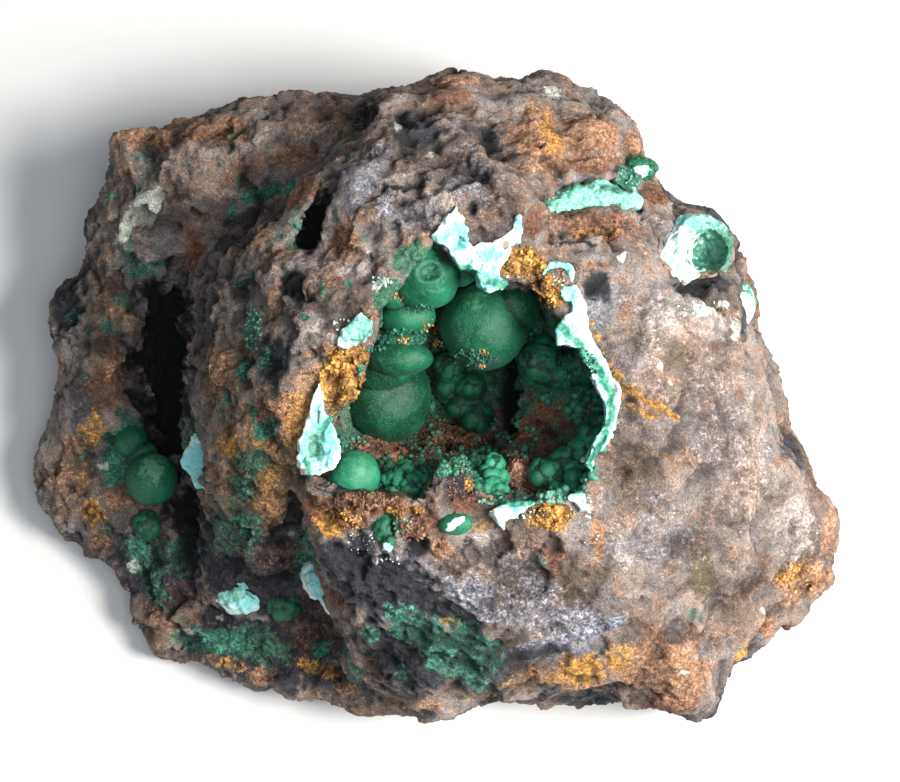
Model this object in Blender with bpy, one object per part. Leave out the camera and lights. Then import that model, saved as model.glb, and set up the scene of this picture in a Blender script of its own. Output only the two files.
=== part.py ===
"""A malachite specimen: a broken block of iron-oxide rock with an open vug, and the malachite grown in it.

Every place on the block is written as (across, up, out) in millimetres on the display plane. That plane leans
back DISPLAY_TILT_DEG from level, so the mouth of the vug faces a viewer who stands in front and looks down.
Across runs to the right, up runs away from the viewer, and out is the height above the plane.
"""

import math

import bmesh
import bpy
from mathutils import Vector, geometry, noise

MM = 0.001
DISPLAY_TILT_DEG = 15.0
CENTRE_MM = Vector((0, 0, 24.0))  # middle of the display plane above the resting face
MIDDLE_SHIFT_MM = Vector((1.8, -3.2, 0))  # brings the middle of the block's box over the origin
TAPER_MM = 300.0  # places spread apart with depth, as lines that meet this far out

SOCKET_GAP_MM = 0.3  # clearance between a growth and the rock that holds it
ROCK_GRAIN_MM = 0.9  # spacing of the rock's points before they are thinned out
ROCK_FACES_KEPT = 0.115
CRAGS_MM = ((9, 1.5), (4.5, 1.2))  # how wide and how deep the broken surface's facets are
SIDE_STEPS = (  # share of the way down, width, unevenness
    (0.3, 0.985, 1.2), (0.6, 0.955, 2.2), (0.85, 0.90, 2.2), (1.0, 0.83, 1.5),
)
RESTING_DEPTH_MM = 3.0  # how far the block runs below the resting face before it is cut flat
BIG_GLOBE_MM = 2.6  # globes from this radius up are meshed finer
MERGED_FACES_KEPT = 0.42  # of a growth whose globes were merged
CUT_ROCK_FACES_KEPT = 0.6
NOISE_SEED = 4  # fixes the unevenness of the sides and hollows

TILT = math.radians(DISPLAY_TILT_DEG)
ACROSS = Vector((1, 0, 0))
UP = Vector((0, math.cos(TILT), math.sin(TILT)))
OUT = Vector((0, -math.sin(TILT), math.cos(TILT)))

# The block's edge as seen square to the display plane, clockwise from its far left corner.
EDGE = [
    (-33.2, 25.7, -13), (-29.5, 25.9, -12), (-26.0, 26.9, -11), (-23.5, 28.1, -11), (-20.5, 29.1, -10),
    (-17.0, 29.3, -10), (-13.0, 29.3, -10), (-9.0, 29.5, -10), (-6.5, 30.0, -8), (-3.8, 30.3, -5),
    (-2.0, 31.3, -4), (0.0, 31.5, -4), (2.5, 31.1, -4), (5.0, 30.5, -5), (7.5, 30.6, -6),
    (10.0, 31.3, -6), (12.8, 30.6, -7), (15.5, 29.2, -7), (18.2, 26.8, -7), (19.2, 25.0, -7),
    (20.0, 23.0, -7), (20.5, 21.0, -7), (21.7, 19.2, -7), (23.0, 17.8, -7), (25.0, 17.7, -8),
    (26.2, 16.8, -8), (27.6, 14.7, -8), (29.0, 12.0, -8), (30.0, 9.0, -8), (30.7, 6.0, -8),
    (31.5, 4.0, -7), (32.8, 2.0, -8), (33.1, -1.0, -8), (33.4, -3.5, -8), (34.5, -5.0, -8),
    (35.8, -7.5, -8), (37.0, -10.3, -8), (38.2, -13.0, -8), (38.6, -16.0, -8), (38.8, -18.5, -9),
    (37.5, -20.2, -9), (35.0, -22.3, -9), (32.5, -23.7, -8), (31.0, -25.8, -8), (29.6, -27.2, -8),
    (28.0, -27.4, -6), (27.2, -29.0, -4), (26.2, -31.0, -2), (25.5, -32.5, -1), (24.0, -32.8, 0),
    (22.0, -31.9, 0), (19.5, -31.5, 0), (17.2, -31.0, 0), (14.5, -31.0, -9), (11.0, -31.6, -10),
    (7.5, -31.3, -9), (5.0, -30.8, -2), (3.0, -31.5, -2), (0.0, -32.1, -3), (-2.5, -32.6, -4),
    (-6.0, -32.1, -6), (-8.8, -31.5, -8), (-12.0, -30.8, -10), (-15.5, -30.2, -11), (-18.5, -29.8, -12),
    (-21.0, -28.7, -12), (-23.5, -27.2, -13), (-26.5, -26.7, -13), (-29.3, -26.5, -14), (-31.2, -22.5, -15),
    (-32.6, -19.5, -15), (-34.2, -17.2, -15), (-36.8, -16.2, -16), (-38.8, -14.2, -17), (-40.7, -11.5, -17),
    (-41.5, -9.2, -17), (-40.8, -6.5, -17), (-39.7, -3.5, -17), (-39.2, 0.5, -16), (-39.2, 4.5, -16),
    (-39.5, 8.5, -17), (-39.0, 10.7, -17), (-37.2, 12.2, -16), (-36.3, 14.5, -16), (-36.2, 17.5, -16),
    (-35.2, 20.0, -15), (-34.2, 23.0, -14),
]

# Lines that the block's upper surface bends along.
BREAKS = {
    "vug_lip": [
        (-2.0, 16.0, 12), (1.0, 19.5, 11.5), (4.0, 17.0, 12), (6.8, 18.6, 11.5), (8.0, 13.5, 12),
        (10.0, 11.5, 12), (12.8, 11.0, 12), (13.8, 7.0, 12), (15.5, 3.5, 12.3), (17.3, 0.5, 12.3),
        (17.0, -3.5, 12.2), (15.6, -7.5, 12), (15.0, -11.5, 11.8), (11.5, -12.0, 11.5), (8.0, -12.2, 11.5),
        (4.5, -12.5, 11.5), (2.2, -11.5, 11), (1.4, -9.0, 10.6), (0.2, -7.2, 10.2), (-1.4, -9.0, 10.6),
        (-2.0, -11.5, 11), (-5.5, -11.5, 11), (-8.5, -11.0, 10.8), (-12.0, -11.0, 10.8), (-14.5, -9.2, 10.5),
        (-15.3, -6.0, 11.2), (-14.0, -1.0, 11.6), (-12.5, 1.5, 11.6), (-11.5, 4.5, 11.8), (-9.5, 8.0, 12),
        (-7.0, 11.0, 12), (-4.5, 14.0, 12), (-2.0, 16.0, 12),
    ],
    "dome_edge": [
        (-4.6, 29.3, -1), (-6.5, 28.0, 2), (-8.5, 25.5, 4.5), (-10.5, 23.2, 6), (-12.8, 21.2, 5.5),
        (-15.0, 19.2, 4), (-17.5, 16.6, 3), (-20.5, 14.8, 1), (-23.3, 13.2, -1), (-24.8, 10.0, -1.5),
        (-25.3, 6.0, -1), (-25.2, 2.0, 0), (-24.8, -1.0, 0.5), (-24.6, -5.0, 1), (-24.4, -8.5, 0),
        (-23.0, -12.0, -2), (-22.0, -16.0, -5), (-22.8, -19.5, -8),
    ],
    "groove_floor": [
        (-7.8, 29.0, -7), (-9.5, 27.0, -8), (-11.5, 24.8, -8.5), (-13.4, 22.9, -8.5), (-16.2, 20.4, -8),
        (-18.8, 17.9, -8.5), (-21.5, 16.1, -10), (-24.2, 14.6, -12.5), (-26.2, 12.0, -16), (-27.0, 9.0, -18),
        (-27.3, 4.0, -19), (-27.2, -1.0, -19), (-26.8, -5.0, -18), (-26.4, -9.0, -16.5), (-25.2, -12.5, -14),
        (-24.5, -16.0, -12), (-25.0, -20.0, -12),
    ],
    "wing_edge": [
        (-11.3, 27.6, -7.5), (-14.5, 24.0, -7), (-17.8, 21.3, -7.5), (-21.0, 18.9, -8.5),
        (-24.2, 16.8, -10.5), (-27.0, 14.0, -12), (-29.3, 11.0, -12.5), (-31.5, 8.8, -13),
        (-32.5, 5.5, -13), (-33.0, 1.5, -13), (-32.5, -2.0, -13.5), (-31.0, -4.8, -14),
    ],
    "wing_crest": [
        (-13.5, 28.0, -8), (-20.0, 26.6, -7.5), (-22.5, 25.2, -8), (-27.0, 23.3, -9), (-30.5, 21.5, -10.5),
        (-32.5, 17.5, -11.5), (-34.5, 12.5, -12.5), (-36.0, 8.0, -13.5), (-36.5, 3.0, -13.5),
        (-36.5, -2.0, -13.5), (-37.0, -7.0, -14), (-37.5, -10.5, -14.5),
    ],
    "front_gully": [
        (-15.5, -10.3, 4), (-15.2, -13.0, -2), (-14.6, -16.5, -5), (-13.2, -20.5, -7.5), (-11.7, -25.0, -8.5),
        (-9.6, -29.0, -7.5), (-7.9, -30.8, -7),
    ],
    "front_left_edge": [
        (-14.6, -10.6, 9.3), (-13.9, -13.0, 8.4), (-12.8, -16.0, 7.2), (-11.5, -18.5, 6.2),
        (-10.0, -22.0, 4.8), (-8.3, -25.5, 3), (-6.3, -29.0, 1), (-5.2, -31.0, -1),
    ],
    "front_ridge": [
        (0.0, -15.5, 10.2), (2.5, -19.0, 9.3), (3.4, -22.0, 8.8), (4.2, -25.5, 7), (4.9, -28.5, 5.5),
        (5.0, -30.0, 3.5),
    ],
    "front_edge": [
        (5.8, -30.4, 3), (8.0, -29.9, 2.8), (11.0, -29.8, 2.4), (14.0, -29.2, 2.4), (16.0, -29.2, 2.2),
        (17.3, -30.5, 1.2),
    ],
    "front_foot": [(7.8, -30.5, -8), (11.0, -30.5, -9), (14.0, -30.0, -9), (15.8, -30.1, -7)],
    "slit_lower_lip": [
        (8.5, 17.6, 9), (11.5, 16.9, 8), (15.0, 17.3, 7), (18.5, 16.9, 5.5), (20.5, 15.3, 5),
    ],
    "slit_upper_lip": [
        (9.0, 20.3, 7.5), (12.0, 21.3, 5), (15.0, 21.5, 4), (18.5, 20.5, 2), (20.0, 19.0, 0.5),
    ],
}

# Single heights on the slopes between those lines.
SPOTS = [
    (-30.5, 23.0, -10), (-16.0, 26.5, -7.2), (-18.5, 23.5, -6.8), (-24.5, 20.5, -8.2), (-34.0, 15.0, -12.3),
    (-29.5, 17.0, -11), (-33.8, 9.5, -13), (-29.8, 6.0, -15.5), (-30.2, 1.0, -16), (-29.6, -3.0, -16.5),
    (-33.5, -6.0, -14.6), (-33.0, -9.5, -15), (-29.6, -8.8, -16), (-34.0, -13.0, -14),
    (-30.5, -14.5, -14.5), (-27.5, -14.0, -13.5), (-29.0, -20.0, -13.5), (-26.4, -18.0, -12.8),
    (-26.0, -24.0, -12), (-20.5, -21.5, -10.5), (-17.0, -21.5, -10), (-22.0, -25.5, -11.5),
    (-18.0, -27.0, -10.5), (-14.0, -25.5, -9.5), (-14.0, -28.5, -9.5), (-20.0, 9.0, 6.5), (-20.0, 3.0, 6.5),
    (-21.5, -3.0, 5), (-19.0, -3.0, 8), (-17.0, -1.0, 10), (-17.0, -7.0, 8), (-20.5, -9.0, 4),
    (-16.8, -11.0, 5), (-19.5, -14.0, 1.5), (-17.2, -15.5, 0), (-20.0, -18.5, -4.5), (-17.0, -18.7, -6),
    (-6.0, -15.0, 9.5), (-5.0, -19.0, 7.8), (-3.0, -22.0, 6.6), (-2.5, -26.0, 4.5), (-1.5, -30.0, 1.5),
    (0.5, -24.5, 6), (2.0, -28.0, 4.2), (10.0, -16.0, 10.8), (16.0, -16.0, 11), (10.0, -21.0, 9),
    (16.0, -22.0, 8.5), (11.0, -26.0, 5.5), (16.0, -27.0, 5.2), (20.0, -25.0, 5.5), (20.0, 5.0, 12),
    (20.0, -1.0, 11.8), (20.0, -7.0, 11.3), (20.0, -13.0, 10.6), (24.0, 8.0, 9.5), (25.0, 2.0, 9),
    (25.0, -4.0, 8.8), (25.0, -10.0, 8), (24.5, -15.0, 7.5), (25.6, -19.0, 5), (27.5, -23.0, 2.5),
    (24.0, -22.0, 6.5), (28.0, -14.0, 6.5), (30.0, -19.0, 3), (30.0, -9.0, 5), (31.0, -3.0, 5),
    (30.8, 1.0, 4), (33.0, -8.0, 1.5), (34.5, -12.0, -1), (35.5, -16.0, -3), (34.0, -19.5, -4.5),
    (31.0, -21.5, -3), (29.5, -24.5, -3.5), (22.0, -28.0, 4.5), (24.0, -31.2, 2), (21.0, -30.5, 2),
    (18.5, -29.0, 3.5), (25.5, -27.5, 2), (-2.6, 28.5, 2), (0.5, 29.0, 2), (-1.5, 24.0, 7.5),
    (-4.5, 25.5, 6.5), (-5.5, 22.0, 8.5), (2.0, 24.0, 8), (4.7, 25.8, 3.5), (5.0, 22.0, 9), (3.5, 19.8, 11),
    (8.5, 27.0, 2.5), (7.5, 23.0, 7.5), (11.0, 25.0, 3.5), (15.0, 25.0, 2), (17.0, 23.0, 0),
    (12.0, 29.0, -2), (8.0, 29.3, -1), (16.0, 27.2, -2.5), (18.2, 24.4, -3.5), (22.5, 10.8, 6.5),
    (25.5, 10.0, 4.5), (28.2, 10.5, 1), (27.0, 14.0, -1), (24.0, 16.6, -1), (22.0, 16.6, 2),
    (16.5, 13.0, 9.5), (19.5, 12.5, 8), (15.6, 10.0, 9.8), (19.0, 9.0, 10.5), (28.3, 6.5, 2.5),
    (28.8, 3.5, 5), (-9.0, 17.0, 10.5), (-8.0, 13.0, 11.5), (-11.0, 11.5, 10.8), (-14.5, 10.0, 9.5),
    (-17.5, 11.8, 7), (-16.5, 6.0, 9.6), (-13.0, 7.0, 11.2), (-14.4, 2.5, 11.2), (-17.2, 2.5, 9),
]

# Hollows cut into the block. Each has a middle, an outline, and steps down from above the surface:
# the height of the step, then how wide the hollow is there to the sides, to the far side and to the near side.
# Its lean is how much its floor rises per millimetre across and up.
HOLLOWS = {
    "vug_mouth": {
        "middle": (1.2, 0.5),
        "outline": [
            (-1.7, 15.2), (0.0, 12.6), (2.0, 12.0), (4.5, 10.6), (7.0, 10.5), (9.0, 9.0), (10.6, 7.0),
            (12.5, 5.0), (14.5, 2.8), (16.0, 0.0), (16.2, -2.5), (15.2, -5.0), (13.8, -7.5), (13.6, -10.0),
            (11.0, -10.3), (8.0, -11.0), (5.0, -11.2), (2.8, -10.8), (1.8, -9.0), (1.0, -7.3), (-0.6, -7.6),
            (-1.8, -9.4), (-3.0, -11.0), (-5.5, -10.6), (-8.5, -10.0), (-11.5, -10.2), (-14.0, -9.0),
            (-14.3, -6.5), (-12.5, -3.5), (-11.0, -1.5), (-9.5, 0.3), (-8.4, 2.5), (-7.6, 5.0), (-7.0, 8.0),
            (-5.5, 10.3), (-3.6, 12.9),
        ],
        "steps": [
            (24.0, 1.00, 1.00, 1.00), (9.5, 1.00, 1.00, 1.00), (7.0, 1.03, 1.01, 0.96),
            (3.0, 1.05, 1.00, 0.88), (0.0, 0.97, 0.94, 0.78), (-1.6, 0.80, 0.80, 0.62),
        ],
        "lean": (0, 0),
        "roughness": 0.8,
    },
    "vug_well": {
        "middle": (-1.5, 0.3),
        "outline": [
            (6.6, 3.5), (7.0, -1.5), (7.0, -5.0), (4.0, -7.2), (-1.0, -6.8), (-6.0, -7.2), (-9.6, -5.5),
            (-11.0, -2.0), (-9.4, 2.5), (-6.0, 7.0), (-1.0, 8.0), (4.0, 6.6),
        ],
        "steps": [
            (2.0, 1.00, 1.00, 1.00), (-3.0, 1.00, 1.00, 0.92), (-8.0, 0.92, 0.90, 0.74),
            (-11.5, 0.62, 0.60, 0.45),
        ],
        "lean": (0, 0),
        "roughness": 1.2,
    },
    "dome_hollow": {
        "middle": (-13.4, 17.6),
        "outline": [
            (-12.8, 21.1), (-11.9, 19.9), (-11.7, 18.1), (-12.2, 16.3), (-13.2, 14.6), (-14.7, 13.5),
            (-15.3, 14.6), (-15.1, 16.3), (-14.4, 18.1), (-13.9, 19.9),
        ],
        "steps": [(14.0, 1.0, 1.0, 1.0), (6.0, 0.9, 0.9, 0.9), (3.2, 0.5, 0.6, 0.6)],
        "lean": (0, 0),
        "roughness": 0.5,
    },
    "slit": {
        "middle": (14.5, 19.2),
        "outline": [
            (9.0, 19.1), (11.0, 20.9), (13.5, 21.9), (16.2, 21.5), (18.2, 20.3), (19.8, 18.6), (19.6, 17.4),
            (17.5, 17.8), (15.0, 18.1), (12.5, 17.5), (10.5, 17.3), (9.2, 17.8),
        ],
        "steps": [(14.0, 1.0, 1.0, 1.0), (4.0, 0.95, 0.9, 0.9), (2.2, 0.8, 0.6, 0.6)],
        "lean": (-0.45, 0),
        "roughness": 0.3,
    },
    "cup": {
        "middle": (24.6, 14.2),
        "outline": [
            (20.2, 12.9), (20.8, 15.6), (22.5, 17.7), (25.0, 18.1), (27.4, 16.5), (28.6, 14.1), (28.2, 11.6),
            (26.5, 10.6), (24.0, 10.3), (22.2, 10.7),
        ],
        "steps": [(12.0, 1.0, 1.0, 1.0), (0.0, 0.9, 0.9, 0.9), (-3.0, 0.6, 0.6, 0.6)],
        "lean": (-0.5, -0.35),
        "roughness": 0.4,
    },
}

# Rounded growths: (across, up, out, radius), or with three radii (across, up, out) for a flattened one.
GLOBES = {
    "wall_globes": [
        (-6.5, -0.8, -6.0, 4.7), (-2.5, 11.5, 6.8, 3.3), (-5.2, 9.4, 7.0, 2.2), (-5.0, 7.4, 4.4, 2.8),
        (-5.2, 3.8, 1.4, (3.3, 2.3, 2.8)), (-6.6, 2.6, -2.2, 3.2), (-1.4, 13.4, 8.0, (2.2, 2.0, 1.8)),
        (1.2, 12.2, 6.6, 1.7),
    ],
    "hanging_globe": [(3.8, 6.8, 3.0, 4.6), (5.6, 7.7, 2.0, 2.8)],
    "right_globe": [(9.9, 2.7, 0.5, 2.8), (13.2, 2.5, 1.6, 2.4)],
    "back_globe": [(10.8, 8.4, -1.2, 2.0)],
    "rim_globe": [(-9.7, -8.7, 7.3, 2.7)],
    "well_beads": [
        (2.6, -2.7, -10.2, 1.9), (2.0, 0.2, -10.0, 1.7), (1.1, -1.5, -10.3, 1.5), (-0.3, 2.2, -9.8, 1.6),
        (-0.5, 0.4, -10.6, 1.5),
    ],
    "front_beads": [
        (4.4, -7.3, 5.4, 1.1), (3.8, -8.5, 6.4, 1.1), (5.0, -8.6, 5.8, 1.0), (4.3, -9.6, 7.2, 1.1),
        (3.0, -9.9, 7.6, 1.2), (4.9, -10.2, 7.8, 1.0),
    ],
    "corner_beads": [
        (9.6, -8.4, 6.0, 1.7), (11.6, -7.2, 6.0, 1.6), (12.2, -8.9, 7.2, 1.1), (12.0, -10.0, 7.6, 1.2),
        (13.3, -6.2, 6.8, 1.6), (14.2, -4.6, 6.4, 1.6), (10.4, -9.8, 6.8, 1.2), (14.9, -3.0, 6.2, 1.3),
    ],
    "ledge_beads": [
        (-6.2, -9.1, 5.0, 1.0), (-5.2, -9.1, 5.4, 1.2), (-3.8, -9.5, 6.2, 1.2), (-2.8, -9.0, 5.6, 1.1),
        (-4.6, -8.0, 4.4, 1.1),
    ],
    "lip_bead": [(0.5, -13.2, 10.6, (1.6, 1.1, 1.2))],
    "lip_shard": [(-6.4, -13.6, 9.4, (1.2, 2.3, 1.3))],
    "side_bead": [(29.2, 8.6, -4.0, (1.3, 2.2, 1.6))],
    "crest_bead": [(18.8, 22.2, -1.6, (2.0, 1.3, 1.4))],
    "skirt_globe": [(-29.8, -8.8, -13.6, 2.7), (-32.0, -5.0, -14.4, 1.7), (-30.7, -6.6, -14.6, 1.6)],
    "skirt_bead": [(-30.2, -13.4, -14.2, 1.6)],
    "skirt_chip": [(-20.8, -20.5, -9.8, (2.0, 1.4, 1.5)), (-19.4, -18.9, -8.6, (1.7, 1.0, 1.2))],
    "skirt_nodule": [(-16.6, -21.4, -8.9, (1.7, 1.6, 1.3))],
    "gully_crust": [(-12.9, -18.6, -6.0, (1.5, 1.9, 1.4)), (-11.7, -20.1, -6.3, (1.1, 1.6, 1.3))],
    "slit_lining": [
        (12.4, 19.1, 5.6, (2.0, 1.6, 1.6)), (10.4, 18.3, 6.8, (1.6, 0.9, 1.2)),
        (14.9, 19.5, 4.6, (2.2, 1.6, 1.6)), (17.2, 18.9, 3.4, (1.9, 1.2, 1.4)),
    ],
    "cup_lining": [(24.4, 14.1, -1.2, (4.1, 3.7, 4.4))],
}
ROCK_LUMPS = [(6.9, -8.8, 1.6, (1.8, 2.5, 4.4))]  # rock left standing inside the vug
PALE_GROWTHS = {"slit_lining", "cup_lining", "skirt_chip", "gully_crust"}
CUP_HOLLOW = (26.0, 14.1, 2.0, (2.2, 2.4, 4.4))
CUP_FACE = (24.2, 14.0, 2.4)  # the broken face of the cup, and the direction it looks
CUP_FACES_TO = (0.45, 0.32, 0.83)
CUP_BREAK_MM = 14  # size of the block of air above the cup

# Broken shells, seen end on where they were broken across: the heights of the broken face and of the foot.
SHELLS = {
    "top_shell": {
        "outline": [
            (0.5, 18.6), (1.1, 17.6), (1.6, 16.5), (1.8, 15.3), (2.2, 14.4), (3.3, 14.8), (4.5, 14.8),
            (5.5, 15.6), (6.2, 16.3), (6.7, 17.6), (7.2, 17.6), (7.1, 15.9), (7.0, 14.8), (6.0, 14.6),
            (5.8, 13.3), (5.0, 12.5), (4.9, 11.4), (5.8, 10.8), (5.0, 10.1), (3.8, 9.9), (2.8, 10.5),
            (2.6, 11.9), (1.2, 12.3), (0.2, 13.3), (-0.5, 14.6), (-1.6, 15.1), (-1.8, 15.5), (-1.0, 16.6),
            (-0.2, 17.6),
        ],
        "heights": (12.5, 10.2),
    },
    "hook_shell": {
        "outline": [
            (9.3, 11.6), (9.5, 12.3), (10.1, 12.8), (11.0, 13.0), (11.9, 12.7), (12.4, 12.1), (12.4, 11.2),
            (12.0, 11.2), (11.8, 11.9), (11.0, 12.4), (10.3, 12.3), (9.8, 11.9), (9.6, 11.4),
        ],
        "heights": (12.7, 11.0),
    },
    "right_rind": {
        "outline": [
            (12.7, 10.6), (13.4, 9.4), (13.7, 7.8), (13.9, 6.0), (14.7, 4.3), (15.8, 2.6), (16.6, 1.2),
            (17.1, 0.0), (16.9, -1.6), (16.6, -3.2), (16.3, -4.6), (15.3, -5.9), (14.4, -6.6), (14.1, -8.0),
            (13.5, -7.4), (13.9, -5.9), (14.6, -4.9), (15.3, -3.8), (15.6, -2.4), (15.4, -1.0), (14.6, 0.4),
            (13.9, 2.2), (12.8, 4.4), (10.7, 4.7), (10.8, 6.4), (11.3, 7.4), (12.2, 8.0), (12.0, 9.0),
            (11.0, 9.4), (11.2, 10.3),
        ],
        "heights": (12.8, 9.6),
    },
    "corner_rind": {
        "outline": [
            (11.8, -10.6), (12.7, -10.0), (13.3, -10.2), (13.5, -11.2), (14.0, -12.1), (13.2, -12.0),
            (12.5, -11.2),
        ],
        "heights": (12.5, 10.2),
    },
    "front_rind": {
        "outline": [
            (3.9, -12.2), (4.7, -11.6), (5.5, -11.1), (6.6, -11.0), (8.0, -10.9), (8.8, -11.2), (8.0, -11.7),
            (7.0, -12.0), (6.4, -12.7), (5.6, -12.8), (5.3, -13.8), (4.8, -13.4), (4.4, -12.6),
        ],
        "heights": (12.2, 10.0),
    },
    "left_rind": {
        "outline": [
            (-13.2, 0.9), (-12.7, -0.4), (-12.5, -1.9), (-11.8, -3.4), (-11.2, -4.9), (-11.0, -6.4),
            (-11.4, -7.4), (-12.2, -8.0), (-13.2, -8.3), (-14.9, -8.2), (-15.3, -6.4), (-15.1, -5.1),
            (-14.4, -3.4), (-13.9, -1.4), (-13.6, -0.1),
        ],
        "heights": (12.3, 10.4),
    },
    "side_rind": {
        "outline": [
            (-11.5, 4.3), (-11.2, 5.3), (-11.0, 5.9), (-9.8, 7.1), (-8.8, 7.9), (-7.9, 7.0), (-7.8, 5.9),
            (-8.6, 4.9), (-9.5, 4.7), (-10.5, 4.1),
        ],
        "heights": (12.5, 10.4),
    },
    "groove_shell": {
        "outline": [(-25.2, -5.4), (-24.4, -6.4), (-23.0, -8.2), (-23.4, -9.4), (-24.9, -9.0), (-26.2, -7.2)],
        "heights": (-3.0, -5.0),
    },
}
SHELL_UNEVENNESS_MM = 0.25

COLOURS = {  # (base colour, roughness)
    "rock": ((0.16, 0.11, 0.085, 1), 0.85),
    "malachite": ((0.03, 0.22, 0.10, 1), 0.55),
    "fracture": ((0.36, 0.68, 0.60, 1), 0.45),
}


def place(across, up, out):
    """A point on the block, in metres."""
    spread = 1 - out / TAPER_MM
    return (CENTRE_MM + ACROSS * across * spread + UP * up * spread + OUT * out) * MM


def out_at_height(up, height_mm):
    """How far out of the display plane a point is that stands height_mm above the resting face."""
    return (height_mm - CENTRE_MM.z - up * UP.z) / OUT.z


def new_object(name, bm, kind):
    bmesh.ops.recalc_face_normals(bm, faces=bm.faces)
    mesh = bpy.data.meshes.new(name)
    bm.to_mesh(mesh)
    bm.free()
    obj = bpy.data.objects.new(name, mesh)
    bpy.context.collection.objects.link(obj)
    obj.location = MIDDLE_SHIFT_MM * MM
    obj.data.materials.append(material(kind))
    return obj


def material(kind):
    found = bpy.data.materials.get(kind)
    if found:
        return found
    colour, roughness = COLOURS[kind]
    made = bpy.data.materials.new(kind)
    made.use_nodes = True
    shader = made.node_tree.nodes["Principled BSDF"]
    shader.inputs["Base Color"].default_value = colour
    shader.inputs["Roughness"].default_value = roughness
    shader.inputs["Metallic"].default_value = 0.0
    return made


def helper(obj):
    """Marks a cutter, which is not a piece of the specimen."""
    obj.hide_render = True
    obj.display_type = "WIRE"
    return obj


def combine(target, operation, other, overlapping=False):
    """Adds or removes another solid, whose own bodies may overlap."""
    modifier = target.modifiers.new(operation.lower() + "_" + other.name, "BOOLEAN")
    modifier.operation = operation
    modifier.solver = "EXACT"
    modifier.use_self = overlapping
    modifier.object = other


def thin_out(obj, kept):
    """Merges faces that add little to the shape, until this share of them is left."""
    thin = obj.modifiers.new("fewer_faces", "DECIMATE")
    thin.ratio = kept


def surface_net():
    """The block's upper surface as triangles between the edge, the break lines and the spot heights."""
    places = list(EDGE)
    joins = []
    for line in BREAKS.values():
        closed = line[0] == line[-1]
        first = len(places)
        places += line[:-1] if closed else line
        numbers = list(range(first, len(places)))
        joins += zip(numbers, numbers[1:] + numbers[:1] if closed else numbers[1:])
    places += SPOTS
    flat = [Vector(p[:2]) for p in places]
    points, _, triangles, sources, _, _ = geometry.delaunay_2d_cdt(
        flat, joins, [list(range(len(EDGE)))[::-1]], 1, 1e-4
    )
    heights = [sum(places[s][2] for s in found) / len(found) if found else None for found in sources]
    for i, height in enumerate(heights):
        if height is None:  # where two lines cross
            nearest = min(places, key=lambda p: (Vector(p[:2]) - points[i]).length)
            heights[i] = nearest[2]
    return [(p.x, p.y, h) for p, h in zip(points, heights)], triangles


def side_ring(drop, inset, roughness):
    """The block's edge carried down by a share of its height and drawn in, with an uneven broken face."""
    ring = []
    for across, up, out in EDGE:
        shift = noise.noise_vector(Vector((across, up, 40 * drop)) * 0.11) * roughness
        across, up = across * inset + shift.x, up * inset + shift.y
        foot = out_at_height(up, -RESTING_DEPTH_MM)
        ring.append((across, up, out + (foot - out) * drop))
    return ring


def rock_block():
    """The whole block before anything is cut from it, with a broken, craggy skin."""
    bm = bmesh.new()
    net, triangles = surface_net()
    verts = [bm.verts.new(place(*p)) for p in net]
    for triangle in triangles:
        bm.faces.new([verts[i] for i in triangle])
    above = verts[: len(EDGE)]
    for drop, inset, roughness in SIDE_STEPS:
        below = [bm.verts.new(place(*p)) for p in side_ring(drop, inset, roughness)]
        for i in range(len(EDGE)):
            j = (i + 1) % len(EDGE)
            bm.faces.new((above[i], above[j], below[j], below[i]))
        above = below
    bm.faces.new(above)
    rock = new_object("host_rock", bm, "rock")

    skin = rock.modifiers.new("even_skin", "REMESH")
    skin.mode = "VOXEL"
    skin.voxel_size = ROCK_GRAIN_MM * MM
    soften = rock.modifiers.new("soften", "SMOOTH")
    soften.factor = 0.5
    soften.iterations = 2
    for size_mm, depth_mm in CRAGS_MM:
        crags = bpy.data.textures.new("crags", "VORONOI")
        crags.noise_scale = size_mm * MM
        chips = rock.modifiers.new("crags", "DISPLACE")
        chips.texture = crags
        chips.texture_coords = "LOCAL"
        chips.strength = depth_mm * MM
        chips.mid_level = 0.45
    thin_out(rock, ROCK_FACES_KEPT)
    return rock


def hollow_cutter(name, hollow):
    """The air of a hollow: its outline repeated at each step down, wider or narrower, with an uneven wall."""
    middle_x, middle_y = hollow["middle"]
    lean_x, lean_y = hollow["lean"]
    bm = bmesh.new()
    rings = []
    for step, (out, sides, far, near) in enumerate(hollow["steps"]):
        ring = []
        for across, up in hollow["outline"]:
            dx, dy = across - middle_x, up - middle_y
            rough = noise.noise_vector(Vector((across, up, out)) * 0.3) * hollow["roughness"] * min(step, 1)
            x = middle_x + dx * sides + rough.x
            y = middle_y + dy * (far if dy > 0 else near) + rough.y
            ring.append(bm.verts.new(place(x, y, out + dx * lean_x + dy * lean_y + rough.z)))
        rings.append(ring)
    join_rings(bm, rings)
    return helper(new_object(name, bm, "rock"))


def join_rings(bm, rings):
    """Closed skin through rings of equal count, capped at both ends."""
    count = len(rings[0])
    for upper, lower in zip(rings, rings[1:]):
        for i in range(count):
            j = (i + 1) % count
            bm.faces.new((upper[i], upper[j], lower[j], lower[i]))
    bm.faces.new(rings[0])
    bm.faces.new(rings[-1])
    bmesh.ops.triangulate(bm, faces=bm.faces)


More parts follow.
